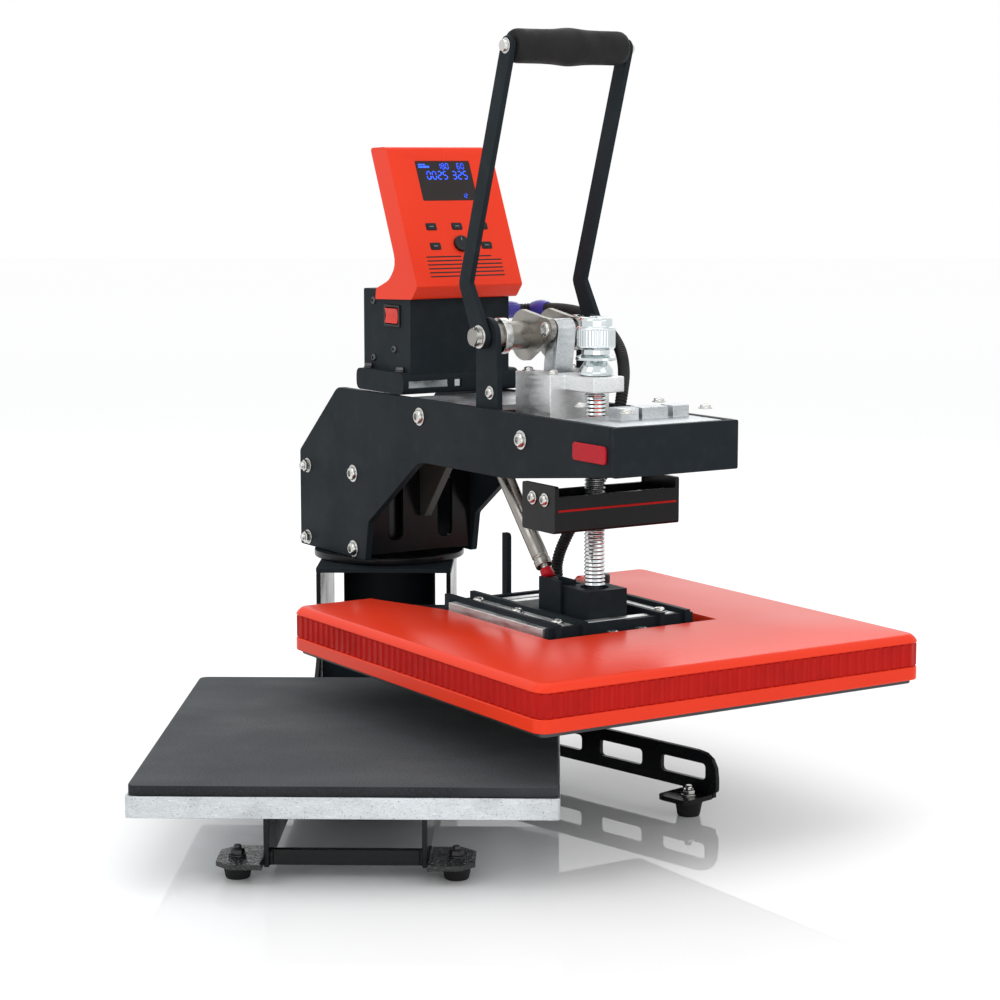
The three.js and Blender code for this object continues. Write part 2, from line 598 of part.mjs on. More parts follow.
/** A thin shell with a bevelled top edge, open below, and open at its middle and its rear. */
function platenCover() {
  const tier = (inset, bottom, top) => lying(plate(coverOutline(inset, 14), top - bottom), bottom);
  const bevel = new THREE.ExtrudeGeometry(coverOutline(COVER_BEVEL, 8), {
    depth: 1, bevelThickness: COVER_BEVEL, bevelSize: COVER_BEVEL, bevelSegments: 1, curveSegments: 4,
  });
  bevel.computeBoundingBox();
  bevel.translate(0, 0, COVER_TOP - bevel.boundingBox.max.z);
  const outer = join(tier(0, COVER_BOTTOM, COVER_TOP - COVER_BEVEL), bevel);
  const opening = lying(plate(coverWindow(0), 100), COVER_BOTTOM - 20);
  const guard = lying(plate(coverWindow(COVER_WALL), 100), HEATER_BOTTOM + HEATER_THICK + 22);
  const cavity = toSolid(tier(COVER_WALL, COVER_BOTTOM - 1, COVER_TOP - COVER_BEVEL))
    .add(toSolid(tier(COVER_WALL + COVER_BEVEL, COVER_BOTTOM, COVER_TOP - COVER_WALL)))
    .subtract(toSolid(guard));
  return toGeometry(toSolid(outer).subtract(cavity).subtract(toSolid(opening)));
}

function buildUpperPlaten(head) {
  const slab = (width, depth, radius) => rectangle(-width / 2, -PLATEN_REACH - depth / 2,
    width / 2, -PLATEN_REACH + depth / 2, radius);
  const heater = lying(plate(slab(HEATER_WIDTH, HEATER_DEPTH, 6), HEATER_THICK), HEATER_BOTTOM);
  part(head, 'heating_plate', heater, darkAluminium);
  const boardBottom = HEATER_BOTTOM + HEATER_THICK + GAP;
  part(head, 'insulation_board', lying(plate(slab(430, 440, 4), 20), boardBottom), board);
  part(head, 'platen_cover', platenCover(), redPaint);

  const frameBottom = boardBottom + 20 + GAP;
  const deck = lying(plate(rectangle(-96, -490, 96, -246, 6), 9), frameBottom);
  const ribs = [-80, -48, 48, 80].map((across) =>
    block([across - 3, 262, frameBottom + 4], [across + 3, 478, frameBottom + 26]));
  const crossRibs = [280, 470].map((reach) =>
    block([-90, reach - 3, frameBottom + 4], [90, reach + 3, frameBottom + 22]));
  const boss = block([-24, 400, frameBottom + 4], [24, 448, SPINDLE_FOOT + 9]);
  const socket = upright(0, -SPINDLE_REACH, 15, SPINDLE_FOOT - 1, SPINDLE_FOOT + 20);
  const glandHole = upright(22, -322, 11, 180, 230);
  const strutBall = join(...[-28, -11].map((across) =>
    block([across, 362, frameBottom + 4], [across + 3, 402, STRUT_END.height + 8])));
  part(head, 'mounting_frame',
    cut(join(deck, ...ribs, ...crossRibs, boss, strutBall), socket, glandHole), blackPowder);

  const postFoot = frameBottom + 9 + GAP;
  const guide = outline([[251, postFoot], [261, postFoot], [261, 266, 5], [251, 266, 1]]);
  part(head, 'rear_guide_post', sideways(plate(guide, 6), 0), blackPowder);

  const body = block([-37, 330, 397], [37, 396, 450]);
  const tongue = block([-19, 390, 434], [19, 448, 450]);
  const linkSlot = block([-11.6, 320, 407], [11.6, 378, 460]);
  const spindleBore = upright(0, -SPINDLE_REACH, SPINDLE_RADIUS + GAP, 420, 460);
  part(head, 'pressure_block', cut(join(body, tongue), linkSlot, spindleBore), rawAluminium);

  const spindle = turned([
    [0, SPINDLE_FOOT], [14, SPINDLE_FOOT], [14, SPINDLE_FOOT + 5], [SPINDLE_RADIUS, SPINDLE_FOOT + 6],
    [SPINDLE_RADIUS, 450.5], [18, 450.5], [18, 457], [SPINDLE_RADIUS, 457], [SPINDLE_RADIUS, 466],
    [21, 466], [21, 469], [14, 472], [14, 477], [18, 478], [20, 480], [20, 498], [17, 500], [17, 508], [15, 510], [0, 510],
  ]).translate(0, -SPINDLE_REACH, 0);
  part(head, 'pressure_spindle', spindle, chrome);
}

// ---- strut between the arm and the upper platen -------------------------------------------------

function buildStrut(head) {
  const run = STRUT_END.reach - STRUT_TOP.reach;
  const drop = STRUT_TOP.height - STRUT_END.height;
  const length = Math.hypot(run, drop);
  const strut = new THREE.Group();
  strut.position.set(STRUT_TOP.across, -STRUT_TOP.reach, STRUT_TOP.height);
  strut.rotation.x = -Math.atan2(run, drop);
  const bodyEnd = 186;
  const cylinder = turned([
    [4.3, -bodyEnd], [9, -bodyEnd], [9, -20], [0, -20], [0, -26], [7, -26], [7, -bodyEnd + 14],
    [4.3, -bodyEnd + 12], [4.3, -bodyEnd],
  ], 20);
  const eye = crosswise(0, 0, 9, -6, 6, 20);
  const neck = upright(0, 0, 5, -23, 0, 16);
  const rodEnd = crosswise(0, -length, 8, -6, 6, 20);
  const rod = upright(0, 0, 4, -length, -70, 16);
  part(strut, 'strut_cylinder', join(cylinder, neck, eye), steel);
  part(strut, 'strut_rod', join(rod, rodEnd), chrome);
  head.add(strut);
}

// ---- assembly --------------------------------------------------------------------------------

const BADGE_THICK = 2.5;

function buildMachine() {
  const machine = new THREE.Group();
  machine.add(buildBase());
  const head = new THREE.Group();
  head.rotation.z = OPEN_SWING;
  buildHeadFrame(head);
  buildControlBox(head);
  buildPanel(head);
  buildLever(head);
  buildUpperPlaten(head);
  buildConduit(head);
  buildStrut(head);
  const badge = plate(rectangle(496, 376, 553, 394, 5), BADGE_THICK);
  const badgeAcross = -ARM_HALF - ARM_PLATE - GAP - BADGE_THICK / 2;
  part(head, 'badge_left', sideways(badge, badgeAcross), redPlastic);
  machine.add(head);
  return machine;
}

const machine = buildMachine();
const extent = new THREE.Box3().setFromObject(machine, true);
const middle = extent.getCenter(new THREE.Vector3());
machine.position.set(-middle.x, -middle.y, -extent.min.z);

const root = new THREE.Group();
root.name = 'swing_heat_press';
root.add(machine);

export default root;
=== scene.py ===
"""Swing-away heat press: the looks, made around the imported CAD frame. Lengths are millimetres in a
piece's own space, and each space turns them into the frame's metres."""
import json
import math
import random
from itertools import product

import bmesh
import bpy
from mathutils import Matrix, Vector

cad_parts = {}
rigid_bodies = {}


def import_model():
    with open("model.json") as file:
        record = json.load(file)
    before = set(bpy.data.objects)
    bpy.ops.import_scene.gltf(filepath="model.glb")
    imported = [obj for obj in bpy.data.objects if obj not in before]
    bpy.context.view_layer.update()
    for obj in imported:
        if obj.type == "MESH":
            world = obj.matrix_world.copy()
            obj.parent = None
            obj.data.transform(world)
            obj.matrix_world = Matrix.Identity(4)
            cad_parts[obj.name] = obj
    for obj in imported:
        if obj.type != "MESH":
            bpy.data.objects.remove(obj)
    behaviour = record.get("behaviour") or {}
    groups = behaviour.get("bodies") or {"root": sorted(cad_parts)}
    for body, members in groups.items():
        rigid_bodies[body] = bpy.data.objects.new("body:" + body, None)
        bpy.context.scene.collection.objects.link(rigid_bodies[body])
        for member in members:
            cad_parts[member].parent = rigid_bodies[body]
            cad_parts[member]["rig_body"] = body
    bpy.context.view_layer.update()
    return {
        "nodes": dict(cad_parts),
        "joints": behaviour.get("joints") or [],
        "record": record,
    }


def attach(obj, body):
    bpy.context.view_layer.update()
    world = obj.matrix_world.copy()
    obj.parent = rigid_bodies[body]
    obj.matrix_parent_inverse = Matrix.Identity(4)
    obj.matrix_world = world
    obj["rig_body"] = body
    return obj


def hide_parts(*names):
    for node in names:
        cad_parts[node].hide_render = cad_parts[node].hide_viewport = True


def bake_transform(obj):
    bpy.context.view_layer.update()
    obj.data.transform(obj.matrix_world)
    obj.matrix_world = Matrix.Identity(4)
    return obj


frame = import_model()
NODES = frame["nodes"]
JOINTS = {joint["name"]: joint for joint in frame["joints"]}
SLOT_OF = {row["node"]: row["material_slot"] for row in frame["record"]["subparts"]}
MM = 0.001
UP, RIGHT, LEFT, FRONT, BACK = (0, 0, 1), (1, 0, 0), (-1, 0, 0), (0, -1, 0), (0, 1, 0)
# stands a prism's outline on the (y, z) plane, with its length along x
ON_EDGE = Matrix(((0, 0, 1, 0), (1, 0, 0, 0), (0, 1, 0, 0), (0, 0, 0, 1)))


# ---- spaces ----

def space(origin, across, up=UP):
    """Millimetres across, back and up from an origin, as metres in the frame."""
    z = Vector(up).normalized()
    x = Vector(across).normalized()
    basis = Matrix((x, z.cross(x), z)).transposed().to_4x4()
    return Matrix.Translation(origin) @ basis @ Matrix.Scale(MM, 4)


def joint_point(name, height=None):
    point = Vector(JOINTS[name]["pos_m"])
    return point if height is None else Vector((point.x, point.y, height))


def joint_axis(name):
    return Vector(JOINTS[name]["axis"])


ACROSS = joint_axis("lever_pull")
FORWARD = joint_axis("rocker_tilt")
HEAD = space(joint_point("head_swing", 0), ACROSS)
BASE = space(joint_point("head_swing", 0), RIGHT)
PANEL = space(joint_point("dial_turn"), ACROSS, joint_axis("dial_turn"))
ROCKER = space(joint_point("rocker_tilt"), FORWARD, -ACROSS)


def extent(node, where=HEAD):
    """A CAD node's lowest and highest corners in a space's own millimetres."""
    inverse = where.inverted()
    points = [inverse @ vertex.co for vertex in NODES[node].data.vertices]
    return Vector(map(min, *points)), Vector(map(max, *points))


def middle(node, where=HEAD):
    """A CAD node's centre and half its size, in a space's own millimetres."""
    low, high = extent(node, where)
    return (low + high) / 2, (high - low) / 2


# ---- materials ----

class Surface:
    """A procedural material: each call adds one layer to the colour, the roughness or the relief."""

    def __init__(self, name, color, roughness, metallic=0.0, **sockets):
        self.material = bpy.data.materials.new(name)
        self.material.use_nodes = True
        self.tree = self.material.node_tree
        self.shader = self.tree.nodes["Principled BSDF"]
        self.shader.inputs["Base Color"].default_value = (*color, 1)
        self.shader.inputs["Roughness"].default_value = roughness
        self.shader.inputs["Metallic"].default_value = metallic
        for socket, value in sockets.items():
            self.shader.inputs[socket.replace("_", " ")].default_value = value
        self.place = self.add("ShaderNodeTexCoord").outputs["Object"]

    def add(self, kind, **values):
        node = self.tree.nodes.new(kind)
        for key, value in values.items():
            if key.startswith("in_"):
                node.inputs[key[3:].replace("_", " ")].default_value = value
            else:
                setattr(node, key, value)
        return node

    def link(self, output, node, socket):
        self.tree.links.new(output, node.inputs[socket])

    def pattern(self, kind, scale, stretch=(1, 1, 1), turn=0.0, detail=2.0, **values):
        """A noise or cell texture on the piece's own coordinates, squeezed along some axes."""
        mapping = self.add("ShaderNodeMapping")
        mapping.inputs["Scale"].default_value = stretch
        mapping.inputs["Rotation"].default_value = (0, 0, turn)
        self.link(self.place, mapping, "Vector")
        texture = self.add("ShaderNodeTexVoronoi" if kind == "cells" else "ShaderNodeTexNoise", **values)
        texture.inputs["Scale"].default_value = scale
        if kind == "noise":
            texture.inputs["Detail"].default_value = detail
        self.link(mapping.outputs["Vector"], texture, "Vector")
        return texture.outputs["Distance" if kind == "cells" else "Fac"]

    def upward(self):
        """How far each face looks up: 1 on a level top, 0 on a wall."""
        split = self.add("ShaderNodeSeparateXYZ")
        self.link(self.add("ShaderNodeNewGeometry").outputs["Normal"], split, "Vector")
        return split.outputs["Z"]

    def times(self, value, other):
        product = self.add("ShaderNodeMath", operation="MULTIPLY", use_clamp=True)
        self.tree.links.new(value, product.inputs[0])
        self.tree.links.new(other, product.inputs[1])
        return product.outputs["Value"]

    def ramp(self, value, low, high, at=(0.35, 0.65)):
        """Fades a texture from one colour to another between two of its values."""
        node = self.add("ShaderNodeValToRGB")
        for stop, position, color in zip(node.color_ramp.elements, at, (low, high)):
            stop.position = position
            stop.color = (*color, 1) if len(color) == 3 else color
        self.link(value, node, "Fac")
        return node.outputs["Color"]

    def tint(self, value, color, at=(0.35, 0.65), amount=1.0):
        """Lays another colour over the one so far, where a texture is high."""
        mix = self.add("ShaderNodeMix", data_type="RGBA")
        mask = self.ramp(value, (0, 0, 0), (amount,) * 3, at)
        factor, before, over, result = mix.inputs[0], mix.inputs[6], mix.inputs[7], mix.outputs[2]
        self.tree.links.new(mask, factor)
        base = self.shader.inputs["Base Color"]
        if base.is_linked:
            self.tree.links.new(base.links[0].from_socket, before)
        before.default_value = base.default_value
        over.default_value = (*color, 1)
        self.link(result, self.shader, "Base Color")
        return self

    def gloss(self, value, low, high, at=(0.3, 0.7)):
        """Lets the roughness wander between two values with a texture."""
        node = self.add("ShaderNodeMapRange")
        for socket, number in zip(("From Min", "From Max", "To Min", "To Max"), (*at, low, high)):
            node.inputs[socket].default_value = number
        self.link(value, node, "Value")
        self.link(node.outputs["Result"], self.shader, "Roughness")
        return self

    def relief(self, value, depth, strength=1.0):
        """Raises the surface by a depth in metres with a texture, on top of any relief so far."""
        node = self.add("ShaderNodeBump", in_Distance=depth, in_Strength=strength)
        self.link(value, node, "Height")
        normal = self.shader.inputs["Normal"]
        if normal.is_linked:
            self.link(normal.links[0].from_socket, node, "Normal")
        self.link(node.outputs["Normal"], self.shader, "Normal")
        return self


def powder_black(name, color, roughness, specular=0.05):
    """Satin powder coat: a fine orange peel, slow changes of gloss, a trace of dust."""
    paint = Surface(name, color, roughness, Specular_IOR_Level=specular)
    paint.relief(paint.pattern("noise", 900, detail=3), 0.00006, 0.5)
    paint.gloss(paint.pattern("noise", 14, detail=6), roughness - 0.07, roughness + 0.09)
    paint.tint(paint.pattern("noise", 60, detail=8), [c * 1.4 + 0.002 for c in color], (0.5, 0.8), 0.6)
    return paint.material


def hammered_black():
    """Glossy hammer finish: shallow rounded dimples a few millimetres apart, with painted glints on the
    dimples of upward faces.
    """
    paint = Surface("hammered_black", (0.004, 0.0045, 0.005), 0.14, Specular_IOR_Level=0.5)
    dimples = paint.pattern("cells", 480, feature="SMOOTH_F1")
    # painted highlight: light glints painted into the colour on the dimples of upward faces only
    paint.tint(paint.times(dimples, paint.upward()), (0.26, 0.275, 0.28), (0.46, 0.74), 0.95)
    paint.relief(dimples, 0.0012, 1.0)
    paint.gloss(paint.pattern("noise", 40, detail=4), 0.1, 0.24)
    return paint.material


def red_paint():
    """Gloss enamel on sheet: a faint orange peel under a clear top coat."""
    paint = Surface("red_paint", (0.76, 0.04, 0.011), 0.24, Specular_IOR_Level=0.17)
    paint.relief(paint.pattern("noise", 620, detail=2), 0.00004, 0.25)
    paint.gloss(paint.pattern("noise", 5, detail=1), 0.2, 0.28)
    paint.tint(paint.pattern("noise", 4, detail=2), (0.68, 0.03, 0.009), (0.4, 0.7), 0.6)
    return paint.material


def raw_aluminium(name, color=(0.6, 0.63, 0.65), roughness=0.36, pitting=0.7):
    """Mill-finish plate: drawn streaks, cloudy gloss, small dark scuffs and bright scratches."""
    metal = Surface(name, color, roughness, 1.0)
    streaks = metal.pattern("noise", 260, (1, 1, 9), detail=5)
    metal.tint(metal.pattern("noise", 3.1, detail=2), [c * 0.66 for c in color], (0.42, 0.6), 0.8)
    metal.tint(streaks, [c * 0.72 for c in color], (0.42, 0.7), 0.7)
    metal.tint(metal.pattern("noise", 28, detail=9), [c * 0.55 for c in color], (0.56, 0.74), 0.6)
    scratches = metal.pattern("noise", 90, (1, 1, 14), turn=0.4, detail=7)
    metal.tint(scratches, (0.85, 0.87, 0.88), (0.62, 0.72), 0.6)
    metal.tint(metal.pattern("noise", 700, detail=4), [c * 0.3 for c in color], (0.6, 0.68), pitting)
    metal.gloss(metal.pattern("noise", 45, (1, 1, 5), detail=7), roughness - 0.08, roughness + 0.16)
    metal.relief(streaks, 0.00008, 0.5)
    metal.relief(metal.pattern("noise", 160, detail=8), 0.00012, 0.35)
    return metal.material


def turned_metal(name, color, roughness, rings=2600):
    """Machined or plated metal: very fine tool marks and a slight haze."""
    metal = Surface(name, color, roughness, 1.0)
    metal.relief(metal.pattern("noise", rings, (0.08, 0.08, 1), detail=2), 0.00003, 0.4)
    metal.gloss(metal.pattern("noise", 60, detail=6), roughness * 0.7, roughness * 1.5 + 0.03)
    metal.tint(metal.pattern("noise", 35, detail=7), [c * 0.7 for c in color], (0.5, 0.72), 0.5)
    return metal.material


def silicone_foam():
    """Dense silicone foam: skinned pores, cloudy dust and faint press marks, and painted light: the top faces
    painted lighter than the sides.
    """
    foam = Surface("silicone_foam", (0.016, 0.018, 0.02), 0.86, Specular_IOR_Level=0.3)
    # painted light: upward faces are painted lighter than the walls, standing in for the light falling on the
    # top
    foam.tint(foam.upward(), (0.059, 0.066, 0.071), (0.55, 0.95))
    foam.tint(foam.pattern("noise", 5.5, (1, 2.2, 1), detail=9), (0.095, 0.104, 0.11), (0.46, 0.7), 0.5)
    foam.tint(foam.pattern("noise", 520, detail=3), (0.028, 0.031, 0.035), (0.5, 0.62), 0.7)
    foam.gloss(foam.pattern("noise", 11, detail=6), 0.72, 0.95)
    foam.relief(foam.pattern("cells", 1300), 0.00022, 0.5)
    foam.relief(foam.pattern("noise", 240, detail=6), 0.0002, 0.4)
    return foam.material


def rubber(name, color, roughness=0.62):
    """Moulded rubber or cable jacket with a fine matt grain."""
    skin = Surface(name, color, roughness, Specular_IOR_Level=0.22)
    skin.relief(skin.pattern("noise", 1500, detail=4), 0.00012, 0.5)
    skin.gloss(skin.pattern("noise", 50, detail=5), roughness - 0.12, roughness + 0.14)
    skin.tint(skin.pattern("noise", 30, detail=7), [c * 1.6 + 0.003 for c in color], (0.52, 0.75), 0.6)
    return skin.material


def plastic(name, color, roughness=0.35, **sockets):
    """Injection-moulded plastic with a light spark-eroded texture."""
    skin = Surface(name, color, roughness, **{"Specular_IOR_Level": 0.28, **sockets})
    skin.relief(skin.pattern("noise", 1100, detail=3), 0.00006, 0.5)
    skin.gloss(skin.pattern("noise", 40, detail=4), roughness * 0.75, roughness * 1.3)
    skin.tint(skin.pattern("noise", 25, detail=5), [c * 0.7 for c in color], (0.45, 0.7), 0.5)
    return skin.material


def heater_coating():
    """Non-stick coating on the heated face: dark, smooth, slightly cloudy."""
    coat = Surface("heater_coating", (0.05, 0.052, 0.055), 0.38, 0.6)
    coat.gloss(coat.pattern("noise", 18, detail=6), 0.28, 0.5)
    coat.relief(coat.pattern("noise", 600, detail=3), 0.00004, 0.4)
    coat.tint(coat.pattern("noise", 12, detail=6), (0.1, 0.1, 0.105), (0.5, 0.75), 0.6)
    return coat.material


def lit_segments():
    """Lit display segments, a little brighter where the light source sits."""
    glow = Surface("lit_segments", (0.01, 0.04, 0.5), 0.4, Emission_Strength=1.6)
    shade = glow.ramp(glow.pattern("noise", 160, detail=2), (0.01, 0.06, 0.95), (0.03, 0.14, 1.0))
    glow.link(shade, glow.shader, "Emission Color")
    return glow.material


MATERIALS = {
    "black_powder": powder_black("powder_slate", (0.0145, 0.0195, 0.0235), 0.46),
    "red_paint": red_paint(),
    "raw_aluminium": raw_aluminium("raw_aluminium"),
    "dark_aluminium": heater_coating(),
    "silicone_foam": silicone_foam(),
    "foot_rubber": rubber("foot_rubber", (0.009, 0.009, 0.01)),
    "steel": turned_metal("turned_steel", (0.33, 0.315, 0.29), 0.3),
    "chrome": turned_metal("chrome_plate", (0.66, 0.71, 0.72), 0.13, 1200),
    "black_plastic": plastic("black_plastic", (0.01, 0.01, 0.012), 0.38),
    "display_glass": plastic("display_glass", (0.018, 0.012, 0.012), 0.12),
    "insulation_board": plastic("insulation_board", (0.4, 0.37, 0.31), 0.9),
    "violet_plastic": plastic("violet_plastic", (0.06, 0.055, 0.34), 0.34),
    "red_plastic": plastic("red_plastic", (0.42, 0.004, 0.014), 0.26, Specular_IOR_Level=0.16),
    "conduit_rubber": rubber("conduit_rubber", (0.01, 0.01, 0.011), 0.45),
    # looks beside the record's own
    "hammered_black": hammered_black(),
    "gloss_black": powder_black("gloss_black", (0.005, 0.0055, 0.0065), 0.22, 0.18),
    "web_grey": powder_black("web_grey", (0.05, 0.049, 0.043), 0.4, 0.3),
    # band_red also colours the painted reflection strip on the guide channel
    "band_red": plastic("band_red", (0.45, 0.009, 0.006), 0.42, Specular_IOR_Level=0.1),
    "rocker_red": plastic("rocker_red", (0.62, 0.022, 0.01), 0.24),
    "dark_steel": turned_metal("dark_steel", (0.1, 0.1, 0.105), 0.36),
    "zinc_plate": turned_metal("zinc_plate", (0.6, 0.6, 0.58), 0.2, 1800),
    "cast_aluminium": raw_aluminium("cast_aluminium", (0.88, 0.9, 0.9), 0.42, 0.2),
    "lit_segments": lit_segments(),
    "legend_grey": plastic("legend_grey", (0.2, 0.21, 0.22), 0.5),
}
# the record's slot that such a look counts as, on a piece that replaces no CAD node
COUNTS_AS = {"gloss_black": "black_powder", "web_grey": "black_powder", "band_red": "red_plastic",
             "dark_steel": "steel", "zinc_plate": "steel", "cast_aluminium": "raw_aluminium",
             "lit_segments": "display_glass"}


# ---- mesh building ----

def placed(name, data):
    made = bpy.data.objects.new(name, data)
    bpy.context.scene.collection.objects.link(made)
    return made


def add_bevel(made, width):
    bevel = made.modifiers.new("bevel", "BEVEL")
    bevel.width = width * MM
    bevel.segments = 3
    bevel.limit_method = "ANGLE"
    bevel.angle_limit = math.radians(28)
    bevel.harden_normals = True
    bevel.use_clamp_overlap = True


def piece(name, bm, where, body, looks=None, bevel=0.0, replaces=(), slot=None, sharp=38):
    """Makes an object from a bmesh drawn in a space's millimetres, and hangs it on a body."""
    bmesh.ops.recalc_face_normals(bm, faces=bm.faces)
    bm.transform(where)
    mesh = bpy.data.meshes.new(name)
    bm.to_mesh(mesh)
    bm.free()
    looks = (looks or SLOT_OF[replaces[0]]).split()
    for look in looks:
        mesh.materials.append(MATERIALS[look])
    mesh.shade_smooth()
    mesh.set_sharp_from_angle(angle=math.radians(sharp))
    made = placed(name, mesh)
    if bevel:
        add_bevel(made, bevel)
    if replaces:
        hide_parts(*replaces)
        slot = SLOT_OF[replaces[0]]
    slot = slot or COUNTS_AS.get(looks[0], looks[0])
    if body:
        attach(made, body)
    return made


def refined(nodes, bevel, look=None):
    """CAD sheets or blocks as finished ones: their flat faces whole and every edge broken."""
    for node in nodes.split():
        bm = bmesh.new()
        bm.from_mesh(NODES[node].data)
        bmesh.ops.remove_doubles(bm, verts=bm.verts, dist=1e-5)
        bmesh.ops.dissolve_limit(bm, angle_limit=math.radians(0.8), verts=bm.verts, edges=bm.edges)
        piece(f"{node}_finished", bm, Matrix.Identity(4), NODES[node]["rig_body"], look, bevel, [node])


def bridge(bm, lower, upper, material=0):
    """A band of faces between two loops that have as many corners."""
    faces = []
    for i in range(len(lower)):
        j = (i + 1) % len(lower)
        faces.append(bm.faces.new((lower[i], lower[j], upper[j], upper[i])))
        faces[-1].material_index = material
    return faces


def skin(bm, rings, material=0):
    """Closes a stack of rings: a band between every two, and a face at each end."""
    for lower, upper in zip(rings, rings[1:]):
        bridge(bm, lower, upper, material)
    for ring in (rings[0], rings[-1]):
        bm.faces.new(ring).material_index = material
    return bm


def rounded(profile, radius, steps=3):
    """A turned profile with each of its inner corners rounded."""
    points = [Vector(p) for p in profile]
    made = [points[0]]
    for before, corner, after in zip(points, points[1:], points[2:]):
        size = min(radius, (before - corner).length * 0.45, (after - corner).length * 0.45)
        start = corner + (before - corner).normalized() * size
        stop = corner + (after - corner).normalized() * size
        for i in range(steps + 1):
            t = i / steps
            made.append(start * (1 - t) ** 2 + corner * (2 * t * (1 - t)) + stop * t ** 2)
    made.append(points[-1])
    return made


def flutes(count, depth, low, high):
    """A wave for a lathe: shallow flutes around the part of a profile between two heights."""
    return lambda angle, height: 1 - depth * (0.5 + 0.5 * math.cos(angle * count)) * (low < height < high)


def lathe(bm, profile, at=Matrix.Identity(4), segments=48, closed=False, material=0, wave=None):
    """Turns (radius, height) pairs about Z; wave(angle, height) may scale the radius."""
    rings = []
    for radius, height in profile:
        if radius < 1e-6:
            rings.append([bm.verts.new(at @ Vector((0, 0, height)))])
            continue
        ring = []
        for i in range(segments):
            angle = math.tau * i / segments
            size = radius * (wave(angle, height) if wave else 1)
            ring.append(bm.verts.new(at @ Vector((size * math.cos(angle), size * math.sin(angle), height))))
        rings.append(ring)
    pairs = list(zip(rings, rings[1:])) + ([(rings[-1], rings[0])] if closed else [])
    for low, high in pairs:
        for i in range(segments):
            j = (i + 1) % segments
            corners = [low[i % len(low)], low[j % len(low)], high[j % len(high)], high[i % len(high)]]
            unique = list(dict.fromkeys(corners))
            if len(unique) > 2:
                bm.faces.new(unique).material_index = material
    return bm


def prism(bm, outline, low, high, at=Matrix.Identity(4), material=0):
    """Stands an outline of (x, y) points up between two heights."""
    rings = [[bm.verts.new(at @ Vector((x, y, z))) for x, y in outline] for z in (low, high)]
    return skin(bm, rings, material)


def box_shape(bm, low, high, material=0):
    outline = [(low[0], low[1]), (high[0], low[1]), (high[0], high[1]), (low[0], high[1])]
    return prism(bm, outline, low[2], high[2], material=material)


def round_rect(half_width, half_height, radius, steps=5, centre=(0, 0)):
    points = []
    for quarter in range(4):
        sx = 1 if quarter in (0, 3) else -1
        sy = 1 if quarter in (0, 1) else -1
        for i in range(steps + 1):
            angle = math.pi / 2 * (quarter + i / steps)
            points.append((centre[0] + sx * (half_width - radius) + radius * math.cos(angle),
                           centre[1] + sy * (half_height - radius) + radius * math.sin(angle)))
    return points


def sweep(bm, points, radius, sides):
    """A closed round tube along points; radius is a number or a function of the length so far."""
    points = [Vector(p) for p in points]
    size = radius if callable(radius) else lambda length: radius
    tangents = [(b - a).normalized() for a, b in zip(points, points[1:])]
    tangents.append(tangents[-1])
    normal = tangents[0].orthogonal().normalized()
    length = 0.0
    rings = []
    for i, point in enumerate(points):
        if i:
            length += (point - points[i - 1]).length
            normal = (tangents[i - 1].rotation_difference(tangents[i]) @ normal).normalized()
        side = tangents[i].cross(normal).normalized()
        r = size(length)
        rings.append([bm.verts.new(point + normal * r * math.cos(a) + side * r * math.sin(a))
                      for a in (math.tau * k / sides for k in range(sides))])
    return skin(bm, rings)


def smooth_route(points, step):
    """A Catmull-Rom curve through points, sampled about every step millimetres."""
    points = [Vector(p) for p in points]
    ends = [points[0] * 2 - points[1], *points, points[-1] * 2 - points[-2]]
    made = []
    for a, b, c, d in zip(ends, ends[1:], ends[2:], ends[3:]):
        count = max(1, round((c - b).length / step))
        for i in range(count):
            t = i / count
            made.append(0.5 * (2 * b + (c - a) * t + (2 * a - 5 * b + 4 * c - d) * t ** 2
                               + (3 * b - a - 3 * c + d) * t ** 3))
    made.append(points[-1])
    return made


def pointing(position, direction):
    """A matrix whose Z axis stands at a position and points along a direction."""
    turn = Vector(direction).normalized().to_track_quat("Z", "Y").to_matrix().to_4x4()
    return Matrix.Translation(position) @ turn


# ---- fasteners ----

def hexagon(radius):
    return [(radius * math.cos(math.radians(60 * i + 30)), radius * math.sin(math.radians(60 * i + 30)))
            for i in range(6)]


def rod(bm, at, radius, low, high, edge=0.6, segments=32, bore=0, material=0):
    """A round bar between two heights or, with a bore, a sleeve; its edges are rounded."""
    profile = rounded([(bore, low), (radius, low), (radius, high), (bore, high)], edge)
    lathe(bm, profile, at, segments, closed=bore > 0, material=material)


WASHER = 1.4


def hex_head(bm, at, size, height=5.0):
    """A hexagon head or nut with turned-down corners, on a washer, seat at the matrix's origin."""
    rod(bm, at, size * 1.28, 0, WASHER, 0.35, 36)
    top = WASHER + height
    rings = []
    for inset, z in ((0.86, WASHER), (1.0, WASHER + 0.7), (1.0, top - 0.9), (0.84, top)):
        rings.append([bm.verts.new(at @ Vector((x * inset, y * inset, z))) for x, y in hexagon(size * 1.06)])
    skin(bm, rings)


def button_head(bm, at, radius, height, with_washer=True):
    """A domed socket screw: a low dome with a well in its top."""
    base = 1.2 if with_washer else 0.0
    if with_washer:
        rod(bm, at, radius * 1.3, 0, base, 0.35, 36)
    top = base + height
    dome = [(0, base), (radius, base), (radius, base + height * 0.25)]
    dome += [(radius * math.cos(a) * 0.5 + radius * 0.5, base + height * (0.25 + 0.75 * math.sin(a)))
             for a in (math.pi / 2 * i / 5 for i in range(1, 6))]
    dome += [(radius * 0.46, top), (radius * 0.42, base + height * 0.35), (0, base + height * 0.3)]
    lathe(bm, dome, at, 36)


def screws(bm, across, reach, height, way, *sizes, head=button_head):
    """A screw at every combination of the places given across, out in front and up."""
    for x, out, z in product(across, reach, height):
        head(bm, pointing((x, -out, z), way), *sizes)


